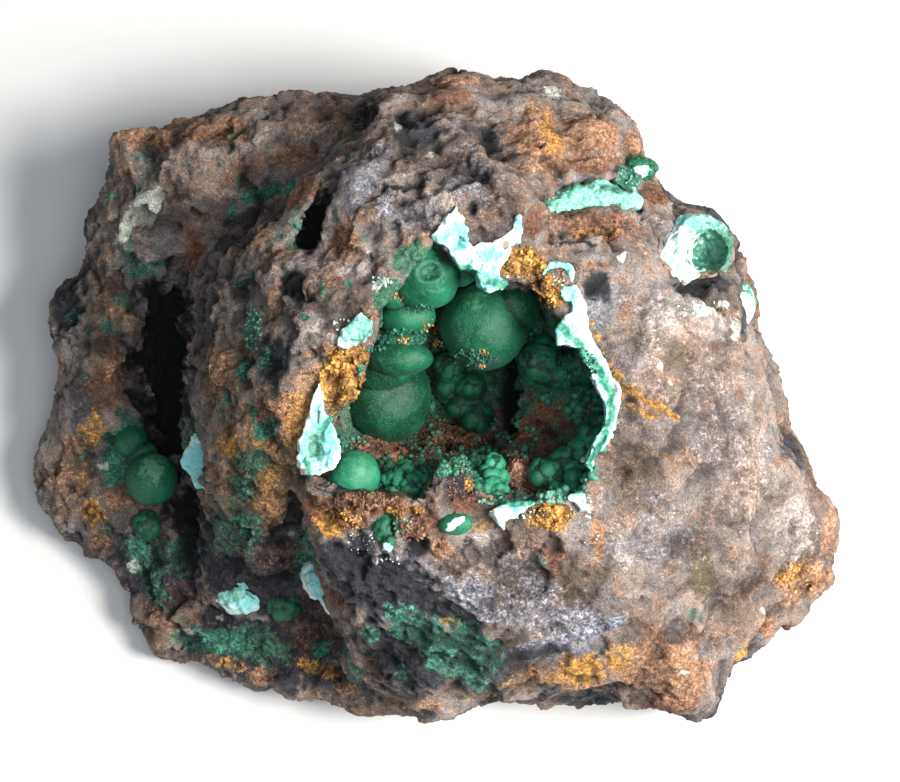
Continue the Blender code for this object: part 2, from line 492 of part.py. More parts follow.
def ball_mesh(balls, gap):
    """Overlapping balls; with a gap they are coarser, and clear of the balls they hold by that much."""
    bm = bmesh.new()
    for across, up, out, radius in balls:
        radii = radius if isinstance(radius, tuple) else (radius,) * 3
        fine = min(radii) >= BIG_GLOBE_MM
        if gap:
            level, hug = (2, 0.93) if fine else (1, 0.80)
            radii = [(r + gap / 2) / hug for r in radii]
        else:
            level = 3 if fine else 2
        made = bmesh.ops.create_icosphere(bm, subdivisions=level, radius=1)
        centre = place(across, up, out)
        for vert in made["verts"]:
            co = vert.co
            vert.co = centre + (ACROSS * co.x * radii[0] + UP * co.y * radii[1] + OUT * co.z * radii[2]) * MM
    return bm


def globe_growth(name, globes):
    """One growth of globes that run into each other."""
    kind = "fracture" if name in PALE_GROWTHS else "malachite"
    growth = new_object(name, ball_mesh(globes[:1], 0), kind)
    if len(globes) > 1:
        rest = helper(new_object(name + "_rest", ball_mesh(globes[1:], 0), kind))
        combine(growth, "UNION", rest, overlapping=True)
        thin_out(growth, MERGED_FACES_KEPT)
    growth.data.shade_smooth()
    return growth


def globe_socket(name, globes):
    return helper(new_object("seat_of_" + name, ball_mesh(globes, SOCKET_GAP_MM), "rock"))


def open_cup(cup):
    """Hollows the cup's crust out and breaks it off level with the rock round it."""
    combine(cup, "DIFFERENCE", helper(new_object("cup_hollow", ball_mesh([CUP_HOLLOW], 0), "malachite")))
    bm = bmesh.new()
    bmesh.ops.create_cube(bm, size=1)
    side = CUP_BREAK_MM * MM
    turn = (ACROSS * CUP_FACES_TO[0] + UP * CUP_FACES_TO[1] + OUT * CUP_FACES_TO[2]).to_track_quat("Z", "Y")
    for vert in bm.verts:
        vert.co = place(*CUP_FACE) + turn @ ((vert.co + Vector((0, 0, 0.5))) * side)
    combine(cup, "DIFFERENCE", helper(new_object("above_cup", bm, "malachite")))


def shell_mesh(shell, gap):
    """A broken plate; with a gap it is that much wider and deeper, and runs on above the plate."""
    outline = [Vector(p) for p in shell["outline"]]
    top, foot = shell["heights"]
    bm = bmesh.new()
    rings = [[], []]
    for i, point in enumerate(outline):
        before, after = outline[i - 1], outline[(i + 1) % len(outline)]
        sides = [(point - before).normalized(), (after - point).normalized()]
        outward = Vector((-(sides[0].y + sides[1].y), sides[0].x + sides[1].x)).normalized()
        spread = point + outward * gap
        uneven = noise.noise(Vector((point.x, point.y, top)) * 0.9) * SHELL_UNEVENNESS_MM
        rings[0].append(bm.verts.new(place(spread.x, spread.y, top + uneven + gap)))
        rings[1].append(bm.verts.new(place(spread.x, spread.y, foot - gap)))
    join_rings(bm, rings)
    return bm


def bench_cutter():
    """Everything below the resting face."""
    bm = bmesh.new()
    bmesh.ops.create_cube(bm, size=1)
    side, depth = 120 * MM, 10 * MM
    for vert in bm.verts:
        vert.co = Vector((vert.co.x * side, vert.co.y * side, (vert.co.z - 0.5) * depth))
    return helper(new_object("below_resting_face", bm, "rock"))


def main():
    for obj in list(bpy.data.objects):
        bpy.data.objects.remove(obj)
    noise.seed_set(NOISE_SEED)
    rock = rock_block()
    combine(rock, "DIFFERENCE", bench_cutter())
    for name, hollow in HOLLOWS.items():
        combine(rock, "DIFFERENCE", hollow_cutter(name, hollow))
    lumps = helper(new_object("rock_lumps", ball_mesh(ROCK_LUMPS, 0), "rock"))
    combine(rock, "UNION", lumps, overlapping=True)
    for name, globes in GLOBES.items():
        growth = globe_growth(name, globes)
        if name == "cup_lining":
            open_cup(growth)
        combine(rock, "DIFFERENCE", globe_socket(name, globes), overlapping=len(globes) > 1)
    for name, shell in SHELLS.items():
        new_object(name, shell_mesh(shell, 0), "fracture")
        socket = helper(new_object("seat_of_" + name, shell_mesh(shell, SOCKET_GAP_MM), "rock"))
        combine(rock, "DIFFERENCE", socket)
    thin_out(rock, CUT_ROCK_FACES_KEPT)


main()
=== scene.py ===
import math

import bmesh
import bpy
import numpy as np
from mathutils import Matrix, Vector, noise
from mathutils.bvhtree import BVHTree


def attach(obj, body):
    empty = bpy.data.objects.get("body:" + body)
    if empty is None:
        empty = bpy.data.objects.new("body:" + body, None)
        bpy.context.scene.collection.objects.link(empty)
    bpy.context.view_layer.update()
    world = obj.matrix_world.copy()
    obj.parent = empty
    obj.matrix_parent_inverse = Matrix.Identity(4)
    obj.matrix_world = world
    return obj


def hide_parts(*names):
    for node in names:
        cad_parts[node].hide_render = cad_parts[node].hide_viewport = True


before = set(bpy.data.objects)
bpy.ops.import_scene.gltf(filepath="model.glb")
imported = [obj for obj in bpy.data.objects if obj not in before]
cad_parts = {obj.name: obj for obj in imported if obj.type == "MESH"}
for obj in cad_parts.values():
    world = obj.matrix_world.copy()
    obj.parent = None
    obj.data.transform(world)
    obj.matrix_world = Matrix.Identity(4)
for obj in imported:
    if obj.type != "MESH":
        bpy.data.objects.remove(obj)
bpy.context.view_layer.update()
mm = 0.001
farOff = 99.0  # farther than anything on the specimen, in mm
noise.seed_set(4)  # keeps the wandering of the broken edges the same in every run
print("frame loaded")

# every place is (across, up, out) in mm on a plane that leans back to face the camera
plane = {"leanDeg": 15.0, "middle": (1.8, -3.2, 24.0), "taper": 300.0, "lookFrom": 70.0}
leanBack = math.radians(plane["leanDeg"])
acrossDir = Vector((1, 0, 0))
upDir = Vector((0, math.cos(leanBack), math.sin(leanBack)))
outDir = Vector((0, -math.sin(leanBack), math.cos(leanBack)))


def place(across, up, out):
    spread = 1 - out / plane["taper"]
    return (Vector(plane["middle"]) + acrossDir * across * spread + upDir * up * spread + outDir * out) * mm


def onPlane(points):
    away = points / mm - np.array(plane["middle"])
    out = away @ np.array(outDir)
    spread = 1 - out / plane["taper"]
    return np.column_stack((away[:, 0] / spread, (away @ np.array(upDir)) / spread, out))


def smoothStep(low, high, value):
    t = np.clip((value - low) / (high - low), 0, 1)
    return t * t * (3 - 2 * t)


def linkPiece(name, mesh, material, nodes=()):
    piece = bpy.data.objects.new(name, mesh)
    bpy.context.collection.objects.link(piece)
    mesh.materials.clear()
    mesh.materials.append(material)
    mesh.shade_smooth()
    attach(piece, "root")
    if nodes:
        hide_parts(*nodes)
    return piece


def modifiedMesh(mesh, addModifiers):
    holder = bpy.data.objects.new("holder", mesh)
    bpy.context.collection.objects.link(holder)
    addModifiers(holder)
    result = bpy.data.meshes.new_from_object(holder.evaluated_get(bpy.context.evaluated_depsgraph_get()))
    bpy.data.objects.remove(holder)
    return result


def readPoints(mesh):
    flat = np.empty(len(mesh.vertices) * 3)
    mesh.vertices.foreach_get("co", flat)
    return flat.reshape(-1, 3)


def readNormals(mesh):
    flat = np.empty(len(mesh.vertices) * 3)
    mesh.vertex_normals.foreach_get("vector", flat)
    return flat.reshape(-1, 3)


def writePoints(mesh, points):
    mesh.vertices.foreach_set("co", points.ravel())
    mesh.update()


def readValues(mesh, name):
    values = np.empty(len(mesh.vertices), dtype=np.float32)
    mesh.attributes[name].data.foreach_get("value", values)
    return values


def writeValues(mesh, name, values):
    layer = mesh.attributes.get(name) or mesh.attributes.new(name, "FLOAT", "POINT")
    layer.data.foreach_set("value", np.asarray(values, dtype=np.float32))


def meshFrom(name, points, faces, values=None):
    mesh = bpy.data.meshes.new(name)
    mesh.from_pydata([tuple(p) for p in points], [], [tuple(f) for f in faces])
    for key, data in (values or {}).items():
        writeValues(mesh, key, data)
    return mesh


def treeOf(pieces):
    points, faces = [], []
    for piece in pieces:
        start = len(points)
        points += [v.co.copy() for v in piece.data.vertices]
        faces += [[start + i for i in polygon.vertices] for polygon in piece.data.polygons]
    return BVHTree.FromPolygons(points, faces)


def seenFrom(tree, across, up):
    # where a line of sight along this place of the plane first meets the tree's faces
    start = place(across, up, plane["lookFrom"])
    towards = (place(across, up, -plane["lookFrom"]) - start).normalized()
    return tree.ray_cast(start, towards)


def ballPoints(level):
    bm = bmesh.new()
    bmesh.ops.create_icosphere(bm, subdivisions=level, radius=1)
    bm.verts.ensure_lookup_table()
    points = np.array([v.co[:] for v in bm.verts])
    faces = np.array([[v.index for v in f.verts] for f in bm.faces])
    bm.free()
    return points, faces


def voxelSkin(mesh, voxelMm):
    def remesh(holder):
        skin = holder.modifiers.new("skin", "REMESH")
        skin.mode = "VOXEL"
        skin.voxel_size = voxelMm * mm

    return modifiedMesh(mesh, remesh)


def cleanMesh(mesh, smallest, mend=False):
    # loose scraps of fewer than the smallest number of faces go
    # mending also drops faces whose edges are shared by more than two, and closes the holes that they leave
    holder = bmesh.new()
    holder.from_mesh(mesh)
    if mend:
        crowded = {face for edge in holder.edges if len(edge.link_faces) > 2 for face in edge.link_faces}
        bmesh.ops.delete(holder, geom=list(crowded), context="FACES")
    holder.faces.ensure_lookup_table()
    holder.faces.index_update()
    done, scraps = set(), []
    for face in holder.faces:
        if face.index in done:
            continue
        group, waiting = [], [face]
        done.add(face.index)
        while waiting:
            current = waiting.pop()
            group.append(current)
            for edge in current.edges:
                for other in edge.link_faces:
                    if other.index not in done:
                        done.add(other.index)
                        waiting.append(other)
        if len(group) < smallest:
            scraps += group
    bmesh.ops.delete(holder, geom=scraps, context="FACES")
    if mend:
        rims = [edge for edge in holder.edges if len(edge.link_faces) == 1]
        filled = bmesh.ops.holes_fill(holder, edges=rims, sides=0)["faces"]
        bmesh.ops.triangulate(holder, faces=filled)
    bmesh.ops.delete(holder, geom=[vert for vert in holder.verts if not vert.link_faces], context="VERTS")
    bmesh.ops.recalc_face_normals(holder, faces=holder.faces)
    holder.to_mesh(mesh)
    holder.free()
    return mesh


# how soft the edges of the patches and lines are, and how far patches on the rock reach in depth
soft = {
    "onRock": (0.55, 1.45), "onGrowths": (0.6, 1.3), "stroke": (1.6, 0.5), "depthShare": 1.3,
    "depthSpare": 1.5, "strokeRagged": 0.6,
}


def oval(across, up, halfWidth, halfHeight, strength=1.0, turnDeg=0):
    # the numbers of a patch, in mm and degrees
    return across, up, halfWidth, halfHeight, strength, math.radians(turnDeg)


def ovalReach(flat, across, up, halfWidth, halfHeight, turn=0.0):
    # how far each point is from a patch's middle along its two axes: 1 is at its edge
    dx, dy = flat[:, 0] - across, flat[:, 1] - up
    along = dx * math.cos(turn) + dy * math.sin(turn)
    over = dy * math.cos(turn) - dx * math.sin(turn)
    return along / halfWidth, over / halfHeight


def flatPatches(places, flat, ragged):
    value = np.zeros(len(flat))
    for spot in places:
        across, up, halfWidth, halfHeight, strength, turn = oval(*spot)
        reach = np.hypot(*ovalReach(flat, across, up, halfWidth, halfHeight, turn)) + ragged
        value = np.maximum(value, strength * (1 - smoothStep(*soft["onGrowths"], reach)))
    return value


def deepPatches(places, flat, ragged, tree):
    # the same on the rock, where a patch doesn't reach what lies far above or below its middle
    value = np.zeros(len(flat))
    for spot in places:
        across, up, halfWidth, halfHeight, strength, turn = oval(*spot)
        hit = seenFrom(tree, across, up)[0]
        if hit is None:
            continue
        along, over = ovalReach(flat, across, up, halfWidth, halfHeight, turn)
        depth = max(halfWidth, halfHeight) * soft["depthShare"] + soft["depthSpare"]
        deep = (flat[:, 2] - onPlane(np.array([hit]))[0, 2]) / depth
        reach = np.sqrt(along ** 2 + over ** 2 + deep ** 2) + ragged
        value = np.maximum(value, strength * (1 - smoothStep(*soft["onRock"], reach)))
    return value


def fromLine(flat, line):
    # how far each point is from a line drawn through the given ones, in mm
    nearest = np.full(len(flat), farOff)
    for begin, end in zip(np.array(line[:-1]), np.array(line[1:])):
        away, run = flat[:, :2] - begin, end - begin
        t = np.clip((away @ run) / (run @ run), 0, 1)
        nearest = np.minimum(nearest, np.linalg.norm(away - t[:, None] * run, axis=1))
    return nearest


# the edge of the vug's mouth, as (across, up)
mouth = [
    (-1.7, 15.2), (0.0, 12.6), (2.0, 12.0), (4.5, 10.6), (7.0, 10.5), (9.0, 9.0), (10.6, 7.0), (12.5, 5.0),
    (14.5, 2.8), (16.0, 0.0), (16.2, -2.5), (15.2, -5.0), (13.8, -7.5), (13.6, -10.0), (11.0, -10.3),
    (8.0, -11.0), (5.0, -11.2), (2.8, -10.8), (1.8, -9.0), (1.0, -7.3), (-0.6, -7.6), (-1.8, -9.4),
    (-3.0, -11.0), (-5.5, -10.6), (-8.5, -10.0), (-11.5, -10.2), (-14.0, -9.0), (-14.3, -6.5),
    (-12.5, -3.5), (-11.0, -1.5), (-9.5, 0.3), (-8.4, 2.5), (-7.6, 5.0), (-7.0, 8.0), (-5.5, 10.3),
    (-3.6, 12.9),
]


def fromMouth(flat, signed=False):
    # how far each point is from the edge of the vug's mouth, in mm, less than nothing inside it if signed
    nearest = fromLine(flat, mouth[-1:] + mouth)
    if not signed:
        return nearest
    inside = np.zeros(len(flat), bool)
    for begin, end in zip(mouth[-1:] + mouth, mouth):
        rise = end[1] - begin[1]
        if rise != 0:
            crosses = (begin[1] > flat[:, 1]) != (end[1] > flat[:, 1])
            edge = (end[0] - begin[0]) / rise * (flat[:, 1] - begin[1])
            inside ^= crosses & (flat[:, 0] - begin[0] < edge)
    return np.where(inside, -nearest, nearest)


def listOf(points, sizeMm, shift=0.0):
    return [Vector(p) for p in points / (sizeMm * mm) + shift]


# every noise starts from a place of its own, so that no two of them line up
starts = {
    "chips": 3.1, "flakes": 6.3, "crustBeads": 4.4, "lumps": 4.1, "grains": 8.3, "pebbles": 1.7,
    "dimple": 2.9, "bend": 6.6, "finerBend": 2.6, "crumple": 8.1, "cells": 2.4,
}


def cloudField(points, sizeMm, octaves, shift=0.0):
    return np.array([noise.fractal(p, 1.0, 2.0, octaves) for p in listOf(points, sizeMm, shift)])


def cellField(points, sizeMm, shift=0.0):
    return np.array([noise.voronoi(p)[0][:2] for p in listOf(points, sizeMm, shift)])


facetTilt = {"spread": 31.7, "middle": 0.5}  # how each facet draws a tilt of its own


def facetField(points, sizeMm, shift=0.0):
    # each cell is a flat facet with a tilt of its own
    level = Vector((1, 1, 1)) * facetTilt["middle"]
    heights = []
    for p in listOf(points, sizeMm, shift):
        middle = noise.voronoi(p)[1][0]
        heights.append((p - middle).dot(noise.cell_vector(middle * facetTilt["spread"]) - level))
    return np.array(heights)


beadWide = 0.62  # half the width of a bead, in cells


def beadHeight(nearest):
    return np.sqrt(np.clip(1 - (nearest / beadWide) ** 2, 0, 1))


class Look:
    # a Principled material and short ways to wire its nodes

    def __init__(self, name):
        self.material = bpy.data.materials.new(name)
        self.material.use_nodes = True
        self.tree = self.material.node_tree
        self.shader = self.tree.nodes["Principled BSDF"]
        self.coords = self.tree.nodes.new("ShaderNodeTexCoord").outputs["Object"]

    def wire(self, source, socket):
        if isinstance(source, (int, float)):
            socket.default_value = source
        elif isinstance(source, tuple):
            socket.default_value = (*source, 1)[:4]
        else:
            self.tree.links.new(source, socket)

    def attribute(self, name):
        node = self.tree.nodes.new("ShaderNodeAttribute")
        node.attribute_name = name
        return node.outputs["Fac"]

    def cloud(self, sizeMm, detail=4, roughness=0.6, distortion=0.0, kind="FBM"):
        node = self.tree.nodes.new("ShaderNodeTexNoise")
        node.noise_type = kind
        node.inputs["Scale"].default_value = 1 / (sizeMm * mm)
        node.inputs["Detail"].default_value = detail
        node.inputs["Roughness"].default_value = roughness
        node.inputs["Distortion"].default_value = distortion
        self.tree.links.new(self.coords, node.inputs["Vector"])
        return node.outputs["Fac"]

    def maths(self, operation, *values):
        node = self.tree.nodes.new("ShaderNodeMath")
        node.operation = operation
        for value, socket in zip(values, node.inputs):
            self.wire(value, socket)
        return node.outputs["Value"]

    def add(self, first, second):
        return self.maths("ADD", first, second)

    def times(self, first, second):
        return self.maths("MULTIPLY", first, second)

    def around(self, cloud, spread):
        # a cloud moved to lie evenly round nothing
        return self.times(self.maths("SUBTRACT", cloud, 0.5), spread)

    def ramp(self, value, *stops):
        node = self.tree.nodes.new("ShaderNodeValToRGB")
        elements = node.color_ramp.elements
        while len(elements) < len(stops):
            elements.new(0.5)
        for element, (position, colour) in zip(elements, stops):
            element.position = position
            element.color = (*colour, 1)
        self.wire(value, node.inputs["Fac"])
        return node.outputs["Color"]

    def between(self, value, low, high, newLow=0.0, newHigh=1.0):
        node = self.tree.nodes.new("ShaderNodeMapRange")
        node.interpolation_type = "SMOOTHSTEP"
        for socket, number in zip(node.inputs, (value, low, high, newLow, newHigh)):
            self.wire(number, socket)
        return node.outputs["Result"]

    def mix(self, factor, first, second, blend="MIX"):
        node = self.tree.nodes.new("ShaderNodeMix")
        node.data_type = "RGBA"
        node.blend_type = blend
        self.wire(factor, node.inputs["Factor"])
        colours = [socket for socket in node.inputs if socket.type == "RGBA"]
        self.wire(first, colours[0])
        self.wire(second, colours[1])
        return next(socket for socket in node.outputs if socket.type == "RGBA")

    def multiply(self, share, colour, shade):
        return self.mix(share, colour, shade, "MULTIPLY")

    def bump(self, height, strength, depthMm):
        node = self.tree.nodes.new("ShaderNodeBump")
        node.inputs["Strength"].default_value = strength
        node.inputs["Distance"].default_value = depthMm * mm
        self.wire(height, node.inputs["Height"])
        return node.outputs["Normal"]

    def finish(self, colour, roughness, normal=None, plain=None):
        # the plain values are the same all over the surface
        self.wire(colour, self.shader.inputs["Base Color"])
        self.wire(roughness, self.shader.inputs["Roughness"])
        if normal:
            self.tree.links.new(normal, self.shader.inputs["Normal"])
        for name, value in (plain or {}).items():
            self.shader.inputs[name].default_value = value
        return self.material


# soft patches on the rock, of colour or of shape, laid in this order: oval() names the numbers
patches = {
    "tan": [
        (24.0, 7.4, 4.4, 1.9, 1.0, -10), (30.0, -8.0, 3.4, 8.0, 0.3), (26.5, 1.5, 4.0, 3.5, 0.25),
        (3.3, -14.2, 1.6, 1.1, 0.6), (14.6, -11.5, 0.8, 4.0, 0.7, 5), (3.3, -18.6, 3.2, 1.6, 0.35),
        (-9.5, 13.1, 1.6, 2.2, 0.9, -40), (-13.4, 6.9, 1.8, 0.8, 0.8, 20), (-37.0, -2.7, 1.4, 2.8, 0.6),
        (-24.2, 22.6, 6.5, 3.6, 0.6, 10), (-37.2, -9.6, 1.0, 1.2, 0.5), (-20.8, -26.9, 1.0, 0.8, 0.7),
        (19.9, 17.1, 2.6, 1.0, 0.5, -10), (21.5, -12.0, 4.0, 4.0, 0.15), (-1.0, 19.0, 2.4, 1.8, 0.5, 35),
        (24.0, -27.0, 3.0, 3.0, 0.4), (-32.8, -16.0, 1.0, 0.7, 0.7), (19.0, -1.8, 3.6, 3.0, 0.25),
        (20.0, 5.5, 2.2, 2.8, 0.3), (17.7, -17.1, 0.9, 0.8, 0.7), (-14.5, 24.5, 3.0, 2.0, 0.4, 15),
        (-5.0, 21.0, 2.4, 1.4, 0.45, 20), (34.5, -14.0, 2.0, 4.0, 0.6),
    ],
    "olive": [
        (19.2, -7.7, 1.9, 3.6, 0.4, -15), (25.2, -18.4, 1.5, 3.2, 0.65, 10), (29.0, -22.3, 2.0, 1.6, 0.4),
        (12.5, -19.0, 2.6, 2.4, 0.5), (-20.0, -10.0, 4.5, 6.0, 0.8), (-22.5, 1.5, 2.6, 6.0, 0.6),
        (-34.0, -12.0, 3.0, 3.0, 0.6), (-24.0, -20.0, 6.0, 4.0, 0.5), (10.0, 23.0, 1.6, 1.8, 0.5),
        (7.5, -26.5, 3.0, 1.0, 0.5, 10), (-36.0, 3.0, 2.5, 6.0, 0.5), (22.5, 3.5, 1.2, 1.8, 0.5),
    ],
    "glint": [
        (2.0, -20.8, 3.2, 2.0, 1.0, -15), (11.7, -23.4, 4.2, 1.2, 0.7, 5), (7.0, -17.5, 2.6, 2.0, 0.5),
        (25.8, -6.7, 3.2, 2.4, 0.25, -40), (-6.7, 18.7, 0.8, 1.2), (20.6, 0.0, 1.6, 0.9, 0.6, -20),
        (19.5, 5.0, 1.4, 1.8, 0.25, 20), (16.5, -14.5, 2.6, 2.4, 0.35), (-3.0, 16.8, 2.4, 1.2, 0.25, 25),
        (4.2, 20.1, 3.0, 2.6, 0.2), (-16.8, 2.0, 1.6, 1.2, 0.25), (-3.6, 26.3, 2.4, 2.0, 0.2),
        (-11.8, -14.0, 1.4, 1.2, 0.4), (8.0, -20.5, 3.4, 1.8, 0.6),
    ],
    # partly a dark coating, partly painted shade: the groove on the left, the holes and the shaded lower
    # left and front are darkened here
    "darkCoatAndShade": [
        (-6.4, -19.6, 5.6, 3.2, 1.0, -32), (5.0, -29.2, 6.0, 1.6, 0.5, 6),
        (-10.7, -17.4, 2.2, 3.2, 1.0, 30), (-5.7, -19.8, 4.2, 2.2, 1.0, -35),
        (0.0, -22.4, 3.2, 0.9, 0.9, -25), (-4.5, -27.0, 4.2, 3.2, 0.9, -45), (-8.6, -15.4, 1.6, 1.6, 0.9),
        (-3.2, -15.5, 1.3, 1.0), (-17.5, 2.8, 2.5, 2.6, 0.8), (-11.0, 21.0, 2.2, 4.0, 0.45, -30),
        (-13.4, 16.2, 1.1, 3.0, 1.0, -25), (-15.6, 10.4, 1.3, 1.4, 0.8), (-8.6, 27.6, 2.2, 2.2, 1.0, 35),
        (-3.8, 26.3, 2.6, 2.1, 0.7), (4.0, 24.9, 0.9, 2.0, 0.9, 5), (2.3, 18.2, 0.5, 0.8),
        (14.9, 10.5, 1.6, 1.6, 1.0, -45), (24.7, 10.9, 3.0, 1.4, 0.8), (33.8, -5.9, 1.2, 3.6, 0.8, 25),
        (-27.6, 1.5, 4.2, 11.5), (-20.0, 17.3, 3.2, 0.9, 0.7, 20), (-22.2, 14.6, 2.2, 1.2, 0.8),
        (-28.0, 17.1, 2.2, 1.8, 0.45), (-15.3, -12.4, 0.9, 2.8), (8.7, -26.4, 4.0, 0.5, 0.7, 15),
        (10.3, -15.8, 1.0, 2.0, 0.5), (-38.4, 9.0, 1.4, 3.4, 0.9), (15.0, -30.8, 5.0, 1.2, 0.8),
        (1.0, -9.4, 1.6, 2.0), (-18.0, -21.0, 4.5, 2.0, 0.8), (-22.0, -16.0, 7.0, 5.0, 0.85, -20),
        (-29.0, -17.5, 6.5, 4.4), (-18.5, -26.0, 7.5, 3.8, 1.0, -10), (-36.5, -2.0, 2.4, 6.0, 0.6),
        (-13.0, -23.0, 5.0, 3.4, 0.9, -35), (-16.0, -25.0, 6.0, 2.6, 0.7, -20),
        (-34.0, -14.0, 4.0, 3.0, 0.5), (-28.5, -2.0, 4.5, 9.0, 0.5), (10.6, -16.4, 0.9, 2.2, 0.7),
        (-26.0, -14.0, 3.0, 4.0, 0.5), (18.3, -0.9, 0.5, 0.6, 0.9), (-13.0, -28.5, 5.0, 1.4, 0.7, -10),
        (-21.1, 10.3, 0.6, 1.2, 0.7), (16.8, 21.8, 1.2, 0.6, 0.8), (6.2, 1.0, 1.4, 4.6, 1.0, 10),
        (-0.3, -5.4, 0.9, 0.9),
    ],
    "rust": [
        (-9.0, -11.3, 6.0, 1.2), (-12.6, -12.8, 2.0, 1.5, 0.8), (-3.0, -13.0, 2.6, 1.6, 0.7),
        (-15.0, 19.3, 2.6, 0.8, 0.9, 45), (-25.1, 13.9, 1.3, 3.2, 0.8, 10), (-8.2, -11.0, 3.0, 0.9),
        (-6.5, -6.0, 4.0, 1.8), (0.0, -4.0, 4.4, 3.0, 0.8), (7.0, -8.6, 1.8, 2.6),
        (9.5, -3.0, 3.8, 3.6, 0.7), (13.7, 22.6, 3.0, 1.0, 0.8), (20.6, 19.8, 1.4, 1.8),
        (8.3, 16.7, 0.8, 1.8, 0.9, -15), (14.7, 16.6, 3.8, 1.3, 1.0, -5), (-0.1, 29.9, 3.0, 1.4, 0.6),
        (-10.4, 15.1, 1.8, 1.8, 0.7), (-17.4, -16.5, 3.0, 1.6, 0.35), (-11.3, -21.1, 1.3, 1.1, 0.8),
        (-3.4, -14.2, 1.2, 0.9, 0.8), (1.2, -11.4, 2.0, 0.8, 0.8), (31.5, -23.6, 0.9, 1.0),
        (-29.0, -13.0, 3.0, 5.0, 0.35), (-19.8, 22.5, 3.4, 1.6, 0.5, 20), (-34.5, 1.0, 1.6, 3.4, 0.5),
        (-28.0, -22.0, 3.0, 3.0, 0.4), (28.8, -0.5, 0.7, 1.0, 0.6), (26.3, 4.3, 0.7, 0.7, 0.6),
        (-14.0, -24.0, 4.0, 3.0, 0.4), (22.0, -31.2, 3.0, 1.0, 0.8), (-20.0, -2.5, 2.4, 1.6, 0.5),
        (10.3, -16.4, 1.2, 2.2, 0.6), (-26.5, 25.5, 4.0, 1.4, 0.5, 12),
    ],
    "orange": [
        (-20.0, -6.0, 4.0, 6.0, 0.42), (-14.2, 0.5, 1.8, 3.0, 0.5), (-35.0, -15.5, 1.4, 1.6, 0.5),
        (9.0, 25.1, 2.4, 4.0), (14.0, 25.4, 3.4, 2.4), (18.2, 24.4, 1.0, 1.6, 0.9),
        (14.8, 16.3, 3.6, 1.1, 0.6, -5), (-22.1, 26.1, 2.6, 1.6, 0.8), (-15.8, 23.8, 2.4, 1.6, 0.7),
        (-25.0, 22.0, 5.0, 3.4, 0.45, 10), (-19.0, 15.2, 2.4, 0.8, 0.8, 20), (-32.8, 8.0, 1.3, 1.5, 0.7),
        (-33.4, 2.8, 1.2, 1.5, 0.8), (-37.8, -5.2, 1.1, 1.1, 0.8), (-33.4, -10.6, 1.6, 1.3, 0.7),
        (-16.2, -2.2, 2.8, 2.6, 0.9, 30), (-22.8, 1.3, 1.5, 3.6, 0.7), (-18.0, -11.4, 1.6, 2.8, 0.7),
        (14.6, -14.2, 0.9, 2.2, 0.9, 5), (14.4, -10.0, 0.6, 3.4, 0.7, 3), (-0.9, -15.6, 1.2, 1.1, 0.8),
        (21.5, -28.0, 4.6, 3.4, 0.9), (35.5, -18.9, 3.2, 2.2), (37.8, -14.0, 0.8, 3.0, 0.7),
        (31.5, -23.4, 1.0, 1.1, 0.9), (24.6, -24.6, 1.6, 1.2, 0.6), (-18.7, -28.2, 1.8, 1.1, 0.7),
        (-10.7, -29.9, 1.4, 0.7, 0.7), (-2.0, -31.2, 1.6, 0.7, 0.8), (0.5, 30.6, 2.6, 1.0, 0.7),
        (-10.2, 14.6, 2.0, 2.4, 0.6, -30), (19.4, -1.0, 2.8, 1.8, 0.55, -20), (-17.4, -16.5, 3.0, 1.6, 0.2),
        (-9.6, 26.0, 1.6, 2.0, 0.4, 30), (14.0, -28.4, 4.0, 2.4, 0.55), (-28.0, 26.0, 7.0, 1.4, 0.8, 5),
        (24.0, 6.2, 2.6, 1.4, 0.4), (-38.5, -9.0, 1.4, 2.4, 0.5), (7.0, -16.0, 1.4, 1.0, 0.4),
        (-23.5, -9.0, 1.4, 2.0, 0.6), (-29.0, -24.0, 2.0, 1.6, 0.5),
    ],
    "ochre": [
        (-11.4, -13.2, 2.4, 1.3, 0.9), (-14.6, -4.0, 2.0, 4.6, 0.55), (-18.5, -9.5, 2.4, 3.6, 0.45),
        (-37.0, -8.0, 1.2, 4.0, 0.45), (-14.0, -27.6, 3.0, 0.9, 0.5, -15),
        (-22.0, -27.2, 3.0, 0.8, 0.5, -10), (10.0, -28.6, 5.5, 1.2, 0.2, 8),
        (3.0, -30.4, 3.0, 0.9, 0.3, 10), (-36.0, -12.0, 1.6, 1.4, 0.6), (-35.6, -4.0, 1.6, 2.0, 0.5),
        (-10.6, 1.2, 2.6, 3.2), (7.2, 12.8, 2.3, 1.4), (9.9, 10.2, 2.2, 1.0, 1.0, -50),
        (5.0, 14.4, 1.4, 0.5, 0.8, -10), (9.9, -12.6, 2.2, 1.1), (-5.3, -12.2, 0.7, 0.9),
        (-3.5, -11.9, 1.1, 0.4, 1.0, -10), (-10.1, -12.6, 1.6, 1.2, 0.8), (16.5, 1.6, 0.5, 0.5),
        (10.0, 25.6, 1.2, 2.2, 0.6, 10), (15.0, 16.0, 2.4, 0.6, 0.6, -5), (-21.8, -5.6, 1.8, 1.6, 0.8),
        (-18.6, -5.4, 3.0, 2.4, 0.45), (8.6, -28.9, 4.2, 0.9, 0.5, 10), (13.6, -27.8, 2.4, 1.6, 0.7),
        (17.0, -26.4, 1.6, 1.8, 0.6), (29.1, -26.1, 1.3, 0.9, 0.9), (1.9, -9.5, 0.45, 0.6),
        (-0.3, -23.1, 1.3, 0.35, 0.7, -10), (-5.6, -21.6, 0.3, 0.4, 0.7), (3.0, -13.4, 1.4, 0.7, 0.6),
        (34.6, -18.2, 1.6, 1.0, 0.6, 20),
    ],
    "verdigris": [
        (-1.2, -25.6, 6.2, 1.8, 1.0, -39), (2.0, -27.2, 2.6, 2.4), (1.0, -26.2, 2.8, 2.6, 0.75, -35),
        (3.4, -26.7, 1.1, 2.4, 1.0, 10), (-5.8, -21.9, 0.7, 0.8, 0.9), (-5.2, -24.2, 0.7, 1.4, 0.9, 40),
